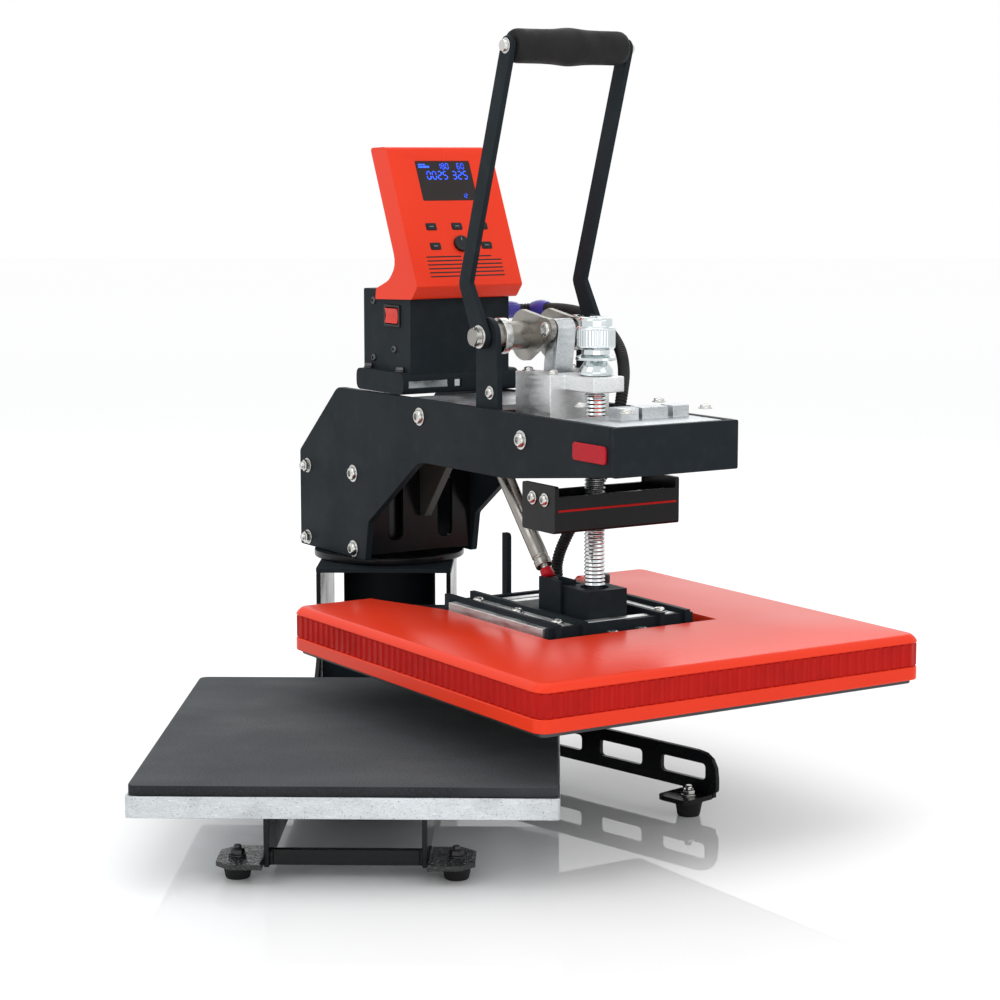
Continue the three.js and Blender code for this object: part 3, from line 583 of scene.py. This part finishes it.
def nut_and_stud(bm, at, size, stud):
    """A nut on a threaded end that stands a little proud of it."""
    hex_head(bm, at, size, 5.2)
    low, high, pitch, root = 6.4, 10.5, 1.1, stud - 0.55
    profile = [(0, low), (root, low)]
    for i in range(int((high - low - 1) / pitch)):
        start = low + 0.5 + i * pitch
        profile += [(root, start), (stud, start + pitch * 0.5)]
    profile += [(root, high - 0.4), (root - 0.5, high), (0, high)]
    lathe(bm, profile, at, 24)


# ---- base ----

def platen():
    """The lower platen: a raw plate, and a foam pad with a softly rounded rim."""
    refined("lower_platen", 0.9)
    low, high = extent("platen_pad", BASE)
    centre, half = middle("platen_pad", BASE)
    bm = bmesh.new()
    edge, corner = 0.9, 9
    section = [(low.z, 0.5), (low.z + 0.5, 0.0)]
    section += [(high.z - edge * (1 - math.sin(a)), edge * (1 - math.cos(a)))
                for a in (0, 0.4, 0.8, 1.2, math.pi / 2)]
    rings = []
    for z, inset in section:
        outline = round_rect(half.x - inset, half.y - inset, corner, 7)
        rings.append([bm.verts.new((centre.x + x, centre.y + y, z)) for x, y in outline])
    skin(bm, rings)
    pad = piece("pad_finished", bm, BASE, "base", replaces=["platen_pad"], sharp=50)


def foot(node):
    """A tapered rubber foot, and its nut and stud above the ear, each nut turned its own way."""
    centre, half = middle(node, BASE)
    at = Matrix.Translation((centre.x, centre.y, 0))
    nut_turn = Matrix.Rotation(centre.x, 4, "Z")
    ear_low, ear_high = extent("front_ear_left", BASE)
    sole, top, wide = extent(node, BASE)[0].z, ear_low.z - 0.3, half.x
    bm = bmesh.new()
    profile = rounded([(0, sole + 0.8), (6, sole + 0.8), (7, sole), (wide - 2, sole), (wide - 1.2, 1.6),
                       (wide + 0.8, top - 3.4), (wide + 1.2, top - 2.6), (wide + 1.2, top), (0, top)], 0.8)
    lathe(bm, profile, at)
    piece(f"{node}_rubber", bm, BASE, "base", replaces=[node])
    bm = bmesh.new()
    seat = at @ Matrix.Translation((0, 0, ear_high.z)) @ nut_turn
    nut_and_stud(bm, seat, 6.4, 3.9)
    piece(f"{node}_stud", bm, BASE, "base", "zinc_plate" if node == "outrigger_foot" else "dark_steel")


def weld(bm, start, stop, radius, seed):
    """A weld bead: a tube that wanders a little and swells at each puddle."""
    chance = random.Random(seed)
    start, stop = Vector(start), Vector(stop)
    puddle, wander = 0.8, 0.15
    count = max(8, round((stop - start).length / puddle))
    points = [start.lerp(stop, i / count) + Vector((chance.uniform(-wander, wander) for _ in range(3)))
              for i in range(count + 1)]
    sweep(bm, points, lambda length: radius * (0.86 + 0.14 * abs(math.sin(length * 0.9))), 10)


def base_frame():
    """The rails, ears, leg and column, with their feet, weld beads and screws."""
    refined("column_front_plate column_top_plate column_tube swing_shaft", 0.7)
    refined("front_ear_left front_ear_right base_plate", 0.8, "hammered_black")
    refined("side_rail_left side_rail_right front_cross_bar outrigger_leg", 0.8, "gloss_black")
    for end, side in product(("front", "rear"), ("left", "right")):
        foot(f"{end}_foot_{side}")
    foot("outrigger_foot")

    bm = bmesh.new()
    bar_low, bar_high = extent("front_cross_bar", BASE)
    for way, side in ((-1, "left"), (1, "right")):
        rail, half = middle(f"side_rail_{side}", BASE)
        x = rail.x - way * (half.x + 0.6)
        for y in (bar_low.y, bar_high.y):
            weld(bm, (x, y, bar_low.z + 1), (x, y, bar_high.z - 1), 3.2, 3 + way)
        ear_low, ear_high = extent(f"front_ear_{side}", BASE)
        x = rail.x + way * (half.x + 0.8)
        weld(bm, (x, ear_low.y + 4, ear_high.z), (x, ear_high.y - 4, ear_high.z), 2.4, 9 + way)
    tube, half = middle("column_tube", BASE)
    ring = [Vector((half.x * math.cos(a), half.x * math.sin(a), tube.z + half.z - 1.4))
            for a in (math.tau * i / 120 for i in range(121))]
    sweep(bm, ring, lambda length: 2.2 * (0.88 + 0.12 * abs(math.sin(length * 0.8))), 10)
    piece("weld_beads", bm, BASE, "base", "gloss_black")

    bm = bmesh.new()
    low, high = extent("column_front_plate", BASE)
    screws(bm, (-50, 50), (-low.y,), (46, high.z - 18), FRONT, 5, 3)
    screws(bm, (-56, 56), (-40,), (extent("base_plate", BASE)[1].z,), UP, 6, head=hex_head)
    piece("column_screws", bm, BASE, "base", "zinc_plate")


# ---- head: frame ----

# reach and height of each bolt on the arm's two sides
SIDE_BOLTS = [(-60, 312), (-60, 227), (49, 314), (49, 227), (198, 392), (400, 386)]
BADGE_RISE = 2.4


def head_frame():
    """The arm and the hub it turns on, with its gusset, fasteners, guide channel and badges."""
    refined("side_plate_left side_plate_right front_plate rear_plate", 0.9)
    refined("pivot_bracket_left pivot_bracket_right", 0.9)
    refined("guide_channel slotted_plate", 0.9, "gloss_black")
    refined("arm_top_plate arm_rear_plate", 0.8)

    low, high = extent("swing_hub")
    flange, bore, collar = low.z + 8, 26, 42
    bm = bmesh.new()
    profile = rounded([(bore, low.z), (high.x - 1, low.z), (high.x, low.z + 1), (high.x, flange - 1),
                       (high.x - 1, flange), (collar + 4, flange), (collar, flange + 4), (collar, high.z),
                       (bore, high.z)], 0.9)
    lathe(bm, profile, segments=96, closed=True)
    piece("turntable_hub", bm, HEAD, "head", "gloss_black", replaces=["swing_hub"])

    bm = bmesh.new()
    face = extent("slotted_plate")[0].y
    prism(bm, [(face, 262), (face, 336), (face - 68, 336), (face - 10, 263)], -1, 9, ON_EDGE)
    piece("arm_gusset", bm, HEAD, "head", "web_grey", 0.8)

    bm = bmesh.new()
    left = extent("side_plate_left")[0].x
    right = extent("side_plate_right")[1].x
    for reach, height in SIDE_BOLTS:
        for across, way in ((left, -1), (right, 1)):
            at = pointing((across, -reach, height), (way, 0, 0))
            if reach < 0:
                nut_and_stud(bm, at, 6.6, 4)
            else:
                button_head(bm, at, 7.6, 4.4)
    screws(bm, (-46, 46), (-extent("rear_plate")[1].y,), (244, 300), BACK, 6, 3.4)
    channel_low, channel_high = extent("guide_channel")
    channel_screws = (20 - channel_high.y, 42 - channel_high.y)
    screws(bm, (channel_low.x,), channel_screws, (330,), LEFT, 5.4, 3.2)
    screws(bm, (channel_high.x,), channel_screws, (330,), RIGHT, 5.4, 3.2)
    bracket = extent("pivot_bracket_right")[1].x
    screws(bm, (-bracket,), (328,), (428,), LEFT, 5.5, 3)
    screws(bm, (bracket,), (328,), (428,), RIGHT, 5.5, 3)
    screws(bm, (-48, 48), (468, 546), (extent("arm_top_plate")[1].z,), UP, 5.5, 3.4)
    piece("head_fasteners", bm, HEAD, "head", "zinc_plate")

    # painted reflection: a thin red strip on the black guide channel stands in for the red cover mirrored in
    # its gloss
    bm = bmesh.new()
    just_below_middle, half_width = channel_low.z * 0.52 + channel_high.z * 0.48, 1.1
    box_shape(bm, (channel_low.x + 4, channel_low.y - 0.7, just_below_middle - half_width),
              (channel_high.x - 4, channel_low.y, just_below_middle + half_width))
    piece("channel_painted_reflection", bm, HEAD, "head", "band_red", 0.3)

    centre, half = middle("badge_left")
    bm = bmesh.new()
    for start in (centre.x - half.x + 2.5 - BADGE_RISE, right + 0.3):
        outline = round_rect(half.y, half.z, 4, centre=(centre.y, centre.z))
        prism(bm, outline, start, start + BADGE_RISE, ON_EDGE)
    piece("side_badges", bm, HEAD, "head", bevel=0.9, replaces=["badge_left"])


# ---- head: control box and panel ----

def control_box():
    """The box behind the panel: its screws, rocker, inlet and vents."""
    refined("control_box", 1.2)
    wall, tray, front = 64, 66, extent("control_box")[0].y
    bm = bmesh.new()
    for way in (-1, 1):
        for reach, height in ((80, 512), (126, 460), (80, 448)):
            button_head(bm, pointing((wall * way, -reach, height), (way, 0, 0)), 4.2, 2.4, False)
    screws(bm, (-tray, tray), (72, 142), (436,), UP, 5, 4, head=hex_head)
    piece("box_screws", bm, HEAD, "head", "dark_steel")
    bm = bmesh.new()
    box_shape(bm, (-68, front + 3, 419.2), (1, front + 6, 426.8))
    piece("tray_liner", bm, HEAD, "head", "chrome", slot="steel")

    bm = bmesh.new()
    rear = extent("power_inlet")[1].y - 4.7
    vents, top_vent, vent_pitch = 6, 494, 7
    for row in range(vents):
        bottom = top_vent - row * vent_pitch
        box_shape(bm, (-52, rear, bottom), (-8, rear + 0.5, bottom + 2.4))
    piece("box_vents", bm, HEAD, "head", "black_plastic", 0.3)

    refined("rocker_bezel", 0.6)
    half = extent("power_rocker", ROCKER)[1]
    bm = bmesh.new()
    face = [(-half.y, -half.z), (half.y, -half.z), (half.y, half.z), (half.y * 0.5, half.z - 1.1),
            (0, half.z - 1.7), (-half.y * 0.5, half.z - 1.1), (-half.y, half.z)]
    prism(bm, face, -half.x, half.x, ON_EDGE)
    piece("rocker_cap", bm, ROCKER, "rocker", "rocker_red", 0.5, ["power_rocker"])

    refined("power_inlet", 0.5)
    centre, half = middle("power_inlet")
    bm = bmesh.new()
    for across, height in ((-6, 1.5), (6, 1.5), (0, -3)):
        x, y, z = centre.x + across, centre.y + half.y, centre.z + height
        box_shape(bm, (x - 0.9, y - 15, z - 2), (x + 0.9, y - 4, z + 2))
    piece("inlet_blades", bm, HEAD, "head", "zinc_plate", 0.3)


DIGIT_RISE = 0.12
SEGMENTS = {"0": "abcdef", "1": "bc", "2": "abged", "5": "afgcd", "8": "abcdefg", "6": "afgedc", "3": "abgcd"}


def digit(bm, text, left, bottom, height):
    """Seven-segment figures, each bar a slim raised block."""
    width, bar = height * 0.5, height * 0.13
    bars = {"a": (0, height, 1), "g": (0, height / 2, 1), "d": (0, 0, 1), "f": (0, height / 2, 0),
            "b": (width, height / 2, 0), "e": (0, 0, 0), "c": (width, 0, 0)}
    for i, character in enumerate(text):
        x0 = left + i * height * 0.78
        for segment in SEGMENTS.get(character, ""):
            x, y, flat = bars[segment]
            x, y = x0 + x, bottom + y
            gap, half = bar * 0.6, bar / 2
            if flat:
                box_shape(bm, (x + gap, y - half, 0), (x + width - gap, y + half, DIGIT_RISE))
            else:
                box_shape(bm, (x - half, y + gap, 0), (x + half, y + height / 2 - gap, DIGIT_RISE))


def panel():
    """The red housing with its display, keys, dial and slots, drawn on the face about the dial."""
    refined("panel_housing", 1.6)
    low, high = extent("display_window", PANEL)
    centre, half = middle("display_window", PANEL)
    bm = bmesh.new()
    prism(bm, round_rect(half.x, half.y, 1.5, centre=centre.xy), low.z, high.z)
    piece("display_cover", bm, PANEL, "head", bevel=0.3, replaces=["display_window"])

    bm = bmesh.new()
    right, top = high.x, high.y
    digit(bm, "180", right - 42, top - 9.5, 6.6)
    digit(bm, "60", right - 17, top - 9.5, 6.6)
    digit(bm, "0025", right - 58, top - 21.5, 9)
    digit(bm, "325", right - 25, top - 21.5, 9)
    digit(bm, "12", right - 18, low.y + 3, 4.6)
    box_shape(bm, (low.x + 3, top - 8, 0), (low.x + 17, top - 5.6, DIGIT_RISE))
    box_shape(bm, (low.x + 3, top - 4.6, 0), (low.x + 12, top - 3.4, DIGIT_RISE))
    bm.transform(Matrix.Translation((0, 0, high.z + 0.01)))
    piece("display_figures", bm, PANEL, "head", "lit_segments")

    for key in ("up", "down", "mode", "timer", "enter"):
        node = f"button_{key}"
        low, high = extent(node, PANEL)
        centre, size = middle(node, PANEL)
        rim = 1.4
        bm = bmesh.new()
        prism(bm, round_rect(size.x, size.y, 2.0, centre=centre.xy), low.z, high.z - 0.35)
        prism(bm, round_rect(size.x - rim, size.y - rim, 1.2, centre=centre.xy), high.z - 0.6, high.z)
        box_shape(bm, (centre.x - 2.6, centre.y - 0.5, high.z - 0.3),
                  (centre.x + 2.6, centre.y + 0.5, high.z + 0.05), 1)
        piece(f"{node}_cap", bm, PANEL, f"{key}_key", "black_plastic legend_grey", 0.35, [node])

    low, high = extent("dial_knob", PANEL)
    radius, face = (high.x - low.x) / 2, high.z - 0.5
    bm = bmesh.new()
    profile = rounded([(0, low.z), (radius, low.z), (radius, high.z - 0.2), (radius - 1.2, high.z),
                       (radius - 2.2, high.z), (radius - 3, face), (0, face)], 0.5)
    lathe(bm, profile, segments=144, wave=flutes(24, 0.035, 0.3, face))
    box_shape(bm, (-0.5, radius * 0.35, high.z - 0.6), (0.5, radius - 1.4, high.z - 0.02), 1)
    piece("dial_cap", bm, PANEL, "dial", "black_plastic legend_grey", replaces=["dial_knob"])

    bm = bmesh.new()
    rows, top_row, row_pitch = 6, -14.5, 4.6
    for row in range(rows):
        y = top_row - row * row_pitch
        for start, stop in ((-48, -3), (3, 48 - 12 * (row == 0))):
            mid, reach = (start + stop) / 2, (stop - start) / 2
            prism(bm, round_rect(reach, 0.75, 0.7, 3, (mid, y)), -0.4, 0.12)
    piece("panel_slots", bm, PANEL, "head", "black_plastic")


# ---- head: heater conduit ----

CONDUIT_ROUTE = [
    (86.9, -143, 500), (94, -143, 500), (103, -152, 501), (106, -172, 502), (106, -205, 503),
    (102, -242, 502), (97, -278, 498), (94, -310, 487), (89, -340, 469), (77, -365, 449), (62, -384, 428),
    (52, -391, 402), (49, -387, 370), (45, -372, 338), (36, -346, 300), (26, -328, 262), (22, -322, 240),
    (22, -322, 224.6),
]
# node, the way its nut points, the nut's radius, look and body
GLANDS = [("box_gland", RIGHT, 11, "violet_plastic", "head"), ("platen_gland", UP, 10, "steel", "carriage")]


def conduit():
    """Corrugated conduit from the box to the heated platen, with a gland at each end."""
    bm = bmesh.new()
    pitch, step = 3.4, 0.55
    ripple = lambda length: 5.6 + 0.9 * (0.5 + 0.5 * math.cos(math.tau * length / pitch)) ** 0.6
    route = smooth_route(CONDUIT_ROUTE, step)
    sweep(bm, route, ripple, 24)
    made = piece("heater_conduit_run", bm, HEAD, None, replaces=["heater_conduit"], sharp=60)
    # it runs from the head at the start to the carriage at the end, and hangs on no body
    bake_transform(made)

    for node, way, radius, look, body in GLANDS:
        centre, half = middle(node)
        reach = half.dot(Vector(way))
        length = reach * 2
        at = pointing(centre - Vector(way) * reach, way)
        bm = bmesh.new()
        prism(bm, hexagon(radius), 0.3, length * 0.3, at)
        dome = rounded([(0, length * 0.28), (radius * 0.86, length * 0.28), (radius * 0.9, length * 0.62),
                        (radius * 0.78, length * 0.9), (radius * 0.7, length), (0, length)], 1.4, 4)
        lathe(bm, dome, at, 96, wave=flutes(16, 0.03, length * 0.32, math.inf))
        piece(f"{node}_nut", bm, HEAD, body, look, 0.5, [node])

    sleeve = [p for p in route if -176 < p.y < -150 and p.z > 480]
    full = len(sleeve) * step
    bm = bmesh.new()
    sweep(bm, sleeve, lambda length: 7.4 + 2.4 * math.sin(math.pi * min(1, length / full)), 24)
    piece("conduit_coupling", bm, HEAD, "head", "violet_plastic")


# ---- lever and toggle ----

def lever():
    """The lever with its grip, its hub and the toggle link below."""
    refined("lever_arm_left lever_arm_right", 0.9)
    centre, half = middle("lever_grip")
    at = pointing(centre, RIGHT)
    length = half.x
    bm = bmesh.new()
    end = [(0, length), (14.5, length), (15.5, length - 0.8), (17.0, length - 3.4), (17.5, length - 6)]
    profile = [(radius, -t) for radius, t in end]
    profile += [(17.5 + 2 * math.exp(-(t / 16) ** 2), t) for t in range(-54, 55, 3)]
    profile += reversed(end)
    grooves = lambda angle, along: 1 - 0.012 * (abs(along) > 30) * (0.5 + 0.5 * math.cos(along * 2.1))
    lathe(bm, rounded(profile, 1.0, 2), at, 72, wave=grooves)
    piece("grip_sleeve", bm, HEAD, "lever", replaces=["lever_grip"])

    bm = bmesh.new()
    bar = middle("lever_grip_bar")[1].x
    rod(bm, at, 5.8, -bar, bar)
    arm_outer = extent("lever_arm_right")[1].x
    for way in (-1, 1):
        button_head(bm, pointing((way * arm_outer, centre.y, centre.z), (way, 0, 0)), 6.2, 3.4)
    piece("grip_bar_and_screws", bm, HEAD, "lever", "zinc_plate", replaces=["lever_grip_bar"])

    refined("lever_hub", 1.0)
    pivot = HEAD.inverted() @ joint_point("lever_pull")
    crank = HEAD.inverted() @ joint_point("link_swing")
    bm = bmesh.new()
    for way in (-1, 1):
        side = (way, 0, 0)
        hex_head(bm, pointing((way * arm_outer, pivot.y, pivot.z), side), 9.5, 6.5)
        rod(bm, pointing((way * 44, pivot.y, pivot.z), side), 19, 0, 9, 0.8, 48, 15.2)
        button_head(bm, pointing((way * 20, crank.y, crank.z), side), 8, 3, False)
    piece("pivot_nuts", bm, HEAD, "lever", "zinc_plate")
    refined("toggle_link", 0.9)


# ---- carriage ----

def inset_loop(points, distances):
    """Moves each point of a closed loop inwards by its own distance, with mitred corners."""
    moved = []
    count = len(points)
    for i, point in enumerate(points):
        before = (point - points[i - 1]).normalized()
        after = (points[(i + 1) % count] - point).normalized()
        n0, n1 = Vector((-before.y, before.x)), Vector((-after.y, after.x))
        moved.append(point + (n0 + n1) / (1 + max(-0.2, n0.dot(n1))) * distances[i])
    return moved


def cover_loop(low, high):
    """The cover on plan, counter-clockwise: outer edge in fine steps, then the notch's edges."""
    corner, fine = 14, 1.9
    outer = []
    notch_rear, notch, shoulder, front = 132, 104, -300, -496
    stops = [Vector(p) for p in ((-notch_rear, high.y), (low.x, high.y), low.xy, (high.x, low.y), high.xy,
                                 (notch_rear, high.y))]
    for i, (a, b) in enumerate(zip(stops, stops[1:])):
        way = (b - a).normalized()
        start = a + way * (corner if i else 0)
        stop = b - way * (corner if i < len(stops) - 2 else 0)
        steps = max(1, round((stop - start).length / fine))
        outer += [start.lerp(stop, k / steps) for k in range(steps + 1)]
        if i < len(stops) - 2:
            turn = (stops[i + 2] - b).normalized()
            centre = b - way * corner + turn * corner
            outer += [centre - turn * corner * math.cos(t) + way * corner * math.sin(t)
                      for t in (math.pi / 2 * k / 8 for k in range(1, 8))]
    inner = [(notch, shoulder), (notch, front), (-notch, front), (-notch, shoulder)]
    return outer, [Vector(p) for p in inner]


# which of the cover's bands, from the bottom up, have the ribs
RIBBED_BANDS = (4, 5, 6)


def cover():
    """The platen cover: a thin shell, bevelled at the top, with a ribbed band sunk in its sides."""
    low, high = extent("platen_cover")
    outer, inner = cover_loop(low, high)
    loop = outer + inner
    wall, bevel = 3.0, 7.0
    band_low, band_high, sunk = low.z + 13, high.z - bevel - 1.4, 2.0
    travelled = [0.0]
    for a, b in zip(outer, outer[1:]):
        travelled.append(travelled[-1] + (b - a).length)

    def ring(bm, z, depth, ribs=0.0, extra=0.0):
        ribbed = [depth - ribs * (1 if (s // 5.7) % 2 else 0) for s in travelled]
        distances = [d + extra for d in ribbed] + [extra] * len(inner)
        return [bm.verts.new((p.x, p.y, z)) for p in inset_loop(loop, distances)]

    bm = bmesh.new()
    steps = [(low.z, 0.6, 0), (low.z + 0.7, 0, 0), (band_low - 0.8, 0, 0), (band_low, 0.5, 0),
             (band_low + 0.3, sunk, 0), (band_low + 1.6, sunk, 1.5), (band_high - 1.6, sunk, 1.5),
             (band_high - 0.3, sunk, 0), (band_high, 0.5, 0), (band_high + 0.6, 0, 0),
             (high.z - bevel - 0.4, 0, 0), (high.z - bevel + 0.6, 0.4, 0), (high.z - 3.4, 2.5, 0),
             (high.z - 1.2, bevel - 1.8, 0), (high.z - 0.3, bevel - 0.3, 0), (high.z, bevel + 1.2, 0)]
    rings = [ring(bm, *step) for step in steps]
    inside = [ring(bm, z, depth, 0, wall) for z, depth in
              ((high.z - wall, bevel), (high.z - bevel - wall, sunk), (low.z, sunk))]
    shell = rings + inside
    for k, (lower, upper) in enumerate(zip(shell, shell[1:] + [shell[0]])):
        if k == len(rings) - 1:
            continue
        band = bridge(bm, lower, upper)
        if k in RIBBED_BANDS:
            for face in band[:len(outer) - 1]:
                face.material_index = 1
    bm.faces.new(rings[-1])
    bm.faces.new(inside[0])
    bm.normal_update()
    bmesh.ops.triangulate(bm, faces=[f for f in bm.faces if len(f.verts) > 4])
    piece("cover_shell", bm, HEAD, "carriage", "red_paint band_red", replaces=["platen_cover"], sharp=30)


def carriage():
    """The upper platen and all that rides down with it."""
    cover()
    for node, bevel in (("heating_plate", 1.2), ("insulation_board", 1.0), ("mounting_frame", 0.9),
                        ("rear_guide_post", 1.8)):
        refined(node, bevel)
    refined("pressure_block", 1.0, "cast_aluminium")
    deck = extent("insulation_board")[1].z + 9.3
    bm = bmesh.new()
    strip_top = deck + 12
    screws(bm, (-64, 64), (300, 375, 450), (strip_top,), UP, 6, 3.6)
    screws(bm, (-18, 18), (264, 482), (deck,), UP, 5.5, 4.5, head=hex_head)
    screws(bm, (-27, 27), (340, 386), (extent("pressure_block")[1].z,), UP, 5, 3.2)
    piece("carriage_screws", bm, HEAD, "carriage", "zinc_plate")

    bm = bmesh.new()
    for across, left, right in ((-64, 12.5, 12.5), (64, 12.5, 12.5), (-88, 4, 5), (88, 4, 5)):
        box_shape(bm, (across - left, -465, deck), (across + right, -285, strip_top))
    for reach in (300, 316, 456):
        box_shape(bm, (-44, -reach - 5, deck), (44, -reach + 5, strip_top + 0.5))
    piece("frame_strips", bm, HEAD, "carriage", "cast_aluminium", 0.6)

    at = Matrix.Translation((57, -355, deck))
    bm = bmesh.new()
    rod(bm, at, 5, 0, 30)
    rod(bm, at, 8.4, 24, 29, 0.8, 40, material=1)
    lathe(bm, rounded([(0, 29.4), (9, 29.4), (9, 38), (7.4, 39.4), (0, 39.4)], 0.8), at, 40)
    piece("sensor_cap", bm, HEAD, "carriage", "black_plastic red_plastic")


def spindle():
    """The pressure screw: threads below the arm, a two-tier knurled knob above it."""
    low, centre = extent("pressure_spindle")[0], middle("pressure_spindle")[0]
    at = Matrix.Translation((centre.x, centre.y, 0))
    bm = bmesh.new()
    pitch, crest, root, last_turn = 4.0, 10.9, 9.5, 446
    profile = [(0, low.z), (13, low.z), (14, low.z + 1), (14, low.z + 4), (root, low.z + 6)]
    z = low.z + 10
    while z < last_turn:
        profile += [(root, z), (root, z + 0.5), (crest, z + pitch * 0.42), (crest, z + pitch * 0.6)]
        z += pitch
    profile += [(root, 448), (crest, 450), (17.4, 450.6), (18, 451.2), (17.6, 456), (13, 462), (11, 465.8),
                (20.4, 466), (21, 466.6), (20.6, 469), (14.5, 472), (14.2, 476.5), (17.6, 478)]
    lathe(bm, profile + [(0, 478)], at, 72)
    knurl = flutes(36, 0.03, 480.6, 497.4)
    knob = [(0, 477), (18.4, 477), (20, 479.5)] + [(20, z) for z in (481, 484, 488, 492, 497, 498.4)]
    knob += [(18.8, 500), (17.2, 500.2), (17, 501), (17, 507), (15.8, 509.2), (14, 510), (6, 510), (5, 509),
             (0, 508.6)]
    lathe(bm, rounded(knob, 0.5, 2), at, 216, wave=knurl)
    piece("pressure_screw", bm, HEAD, "spindle", replaces=["pressure_spindle"], sharp=50)
    bm = bmesh.new()
    rod(bm, at, 17, 296, 308, 0.8, 64, 12.4)
    piece("guide_bush", bm, HEAD, "head", "steel")


def strut():
    """The strut from the arm to the mounting frame: cylinder, collar, rod and its red ball cup."""
    top = HEAD.inverted() @ joint_point("strut_swing")
    way = (HEAD.inverted().to_3x3() @ joint_axis("strut_extend")).normalized()
    low = extent("strut_rod")[0]
    ball = 8
    length = (Vector((top.x, low.y + ball, low.z + ball)) - top).length
    at = pointing(top, way)
    bm = bmesh.new()
    profile = rounded([(4.4, 186), (9, 186), (9, 178), (8.2, 177), (8.2, 175), (8.9, 174), (8.9, 24), (7, 20),
                       (0, 18)], 0.8)
    lathe(bm, [(0, 186)] + profile, at, 48)
    rod(bm, pointing(top, RIGHT), 9, -6, 6, 0.8, 40, 3)
    lathe(bm, [(0, 2), (4.8, 6), (4.8, 20), (0, 20)], at, 24)
    piece("strut_tube", bm, HEAD, "strut_body", "steel", replaces=["strut_cylinder"])
    bm = bmesh.new()
    lathe(bm, [(0, 100), (4, 100), (4, length - 12), (0, length - 12)], at, 32)
    cup = [(0, -19), (6.4, -19), (7.4, -11), (5, -8), (0, -8)]
    lathe(bm, rounded([(radius, length + z) for radius, z in cup], 0.8), at, 36, material=1)
    rod(bm, pointing(top + way * length, RIGHT), 7.8, -6, 6, 0.9, 40, material=2)
    piece("strut_rod_end", bm, HEAD, "strut_rod", "chrome red_plastic black_plastic", replaces=["strut_rod"])
    bm = bmesh.new()
    pin = pointing(top, LEFT)
    rod(bm, pin, 4, -9, 28, segments=24)
    button_head(bm, pin @ Matrix.Translation((0, 0, 28)), 5, 3)
    piece("strut_pin", bm, HEAD, "head", "zinc_plate")


# ---- camera, floor and light ----

# name, place, what it points at, width and height (all in metres), and power in watts
LAMPS = [
    ("key", (-1.9, -1.7, 2.3), (0, 0, 0.35), (1.6, 1.6), 14),
    ("fill", (2.2, -1.5, 1.5), (0, 0, 0.35), (1.8, 1.8), 6),
    ("back", (0.4, 2.3, 1.9), (0, 0, 0.4), (2.4, 1.4), 14),
    ("overhead", (0, -0.1, 2.6), (0, 0, 0), (2.2, 2.2), 12),
    ("low", (0.4, -3.0, 0.5), (0, 0, 0.05), (3.0, 0.7), 8),
]
FLOOR_HALF = 14
# the camera as solved from the photo: millimetres of lens, metres, and radians
LENS, CAMERA_PLACE, CAMERA_DIP, CAMERA_TURN = 88.92, (0.01269, -2.58409, 0.671), 0.138, 0.0215


def stage():
    """The floor, the lamps, the white surround and the camera."""
    floor = bmesh.new()
    bmesh.ops.create_grid(floor, x_segments=1, y_segments=1, size=FLOOR_HALF)
    mesh = bpy.data.meshes.new("floor")
    floor.to_mesh(mesh)
    floor.free()
    pale = Surface("pale_floor", (0.95, 0.955, 0.96), 0.015, IOR=1.42)
    pale.gloss(pale.pattern("noise", 3, detail=4), 0.01, 0.02)
    mesh.materials.append(pale.material)
    ground = placed("floor", mesh)

    for name, location, target, size, power in LAMPS:
        data = bpy.data.lights.new(name, "AREA")
        data.shape = "RECTANGLE"
        data.size, data.size_y = size
        data.energy = power
        lamp = placed(name, data)
        lamp.location = location
        lamp.rotation_mode = "QUATERNION"
        lamp.rotation_quaternion = (Vector(target) - Vector(location)).to_track_quat("-Z", "Y")

    world = bpy.data.worlds.new("studio")
    world.use_nodes = True
    backdrop = world.node_tree.nodes["Background"]
    backdrop.inputs["Color"].default_value = (1, 1, 1, 1)
    backdrop.inputs["Strength"].default_value = 1.0
    bpy.context.scene.world = world
    bpy.context.scene.view_settings.view_transform = "Standard"

    view = bpy.data.cameras.new("camera")
    view.sensor_width = 36
    view.lens = LENS
    camera = placed("camera", view)
    camera.location = CAMERA_PLACE
    camera.rotation_euler = (math.pi / 2 - CAMERA_DIP, 0, CAMERA_TURN)
    bpy.context.scene.camera = camera


for draw in (stage, platen, base_frame, head_frame, control_box, panel, conduit, lever, carriage, spindle,
             strut):
    draw()
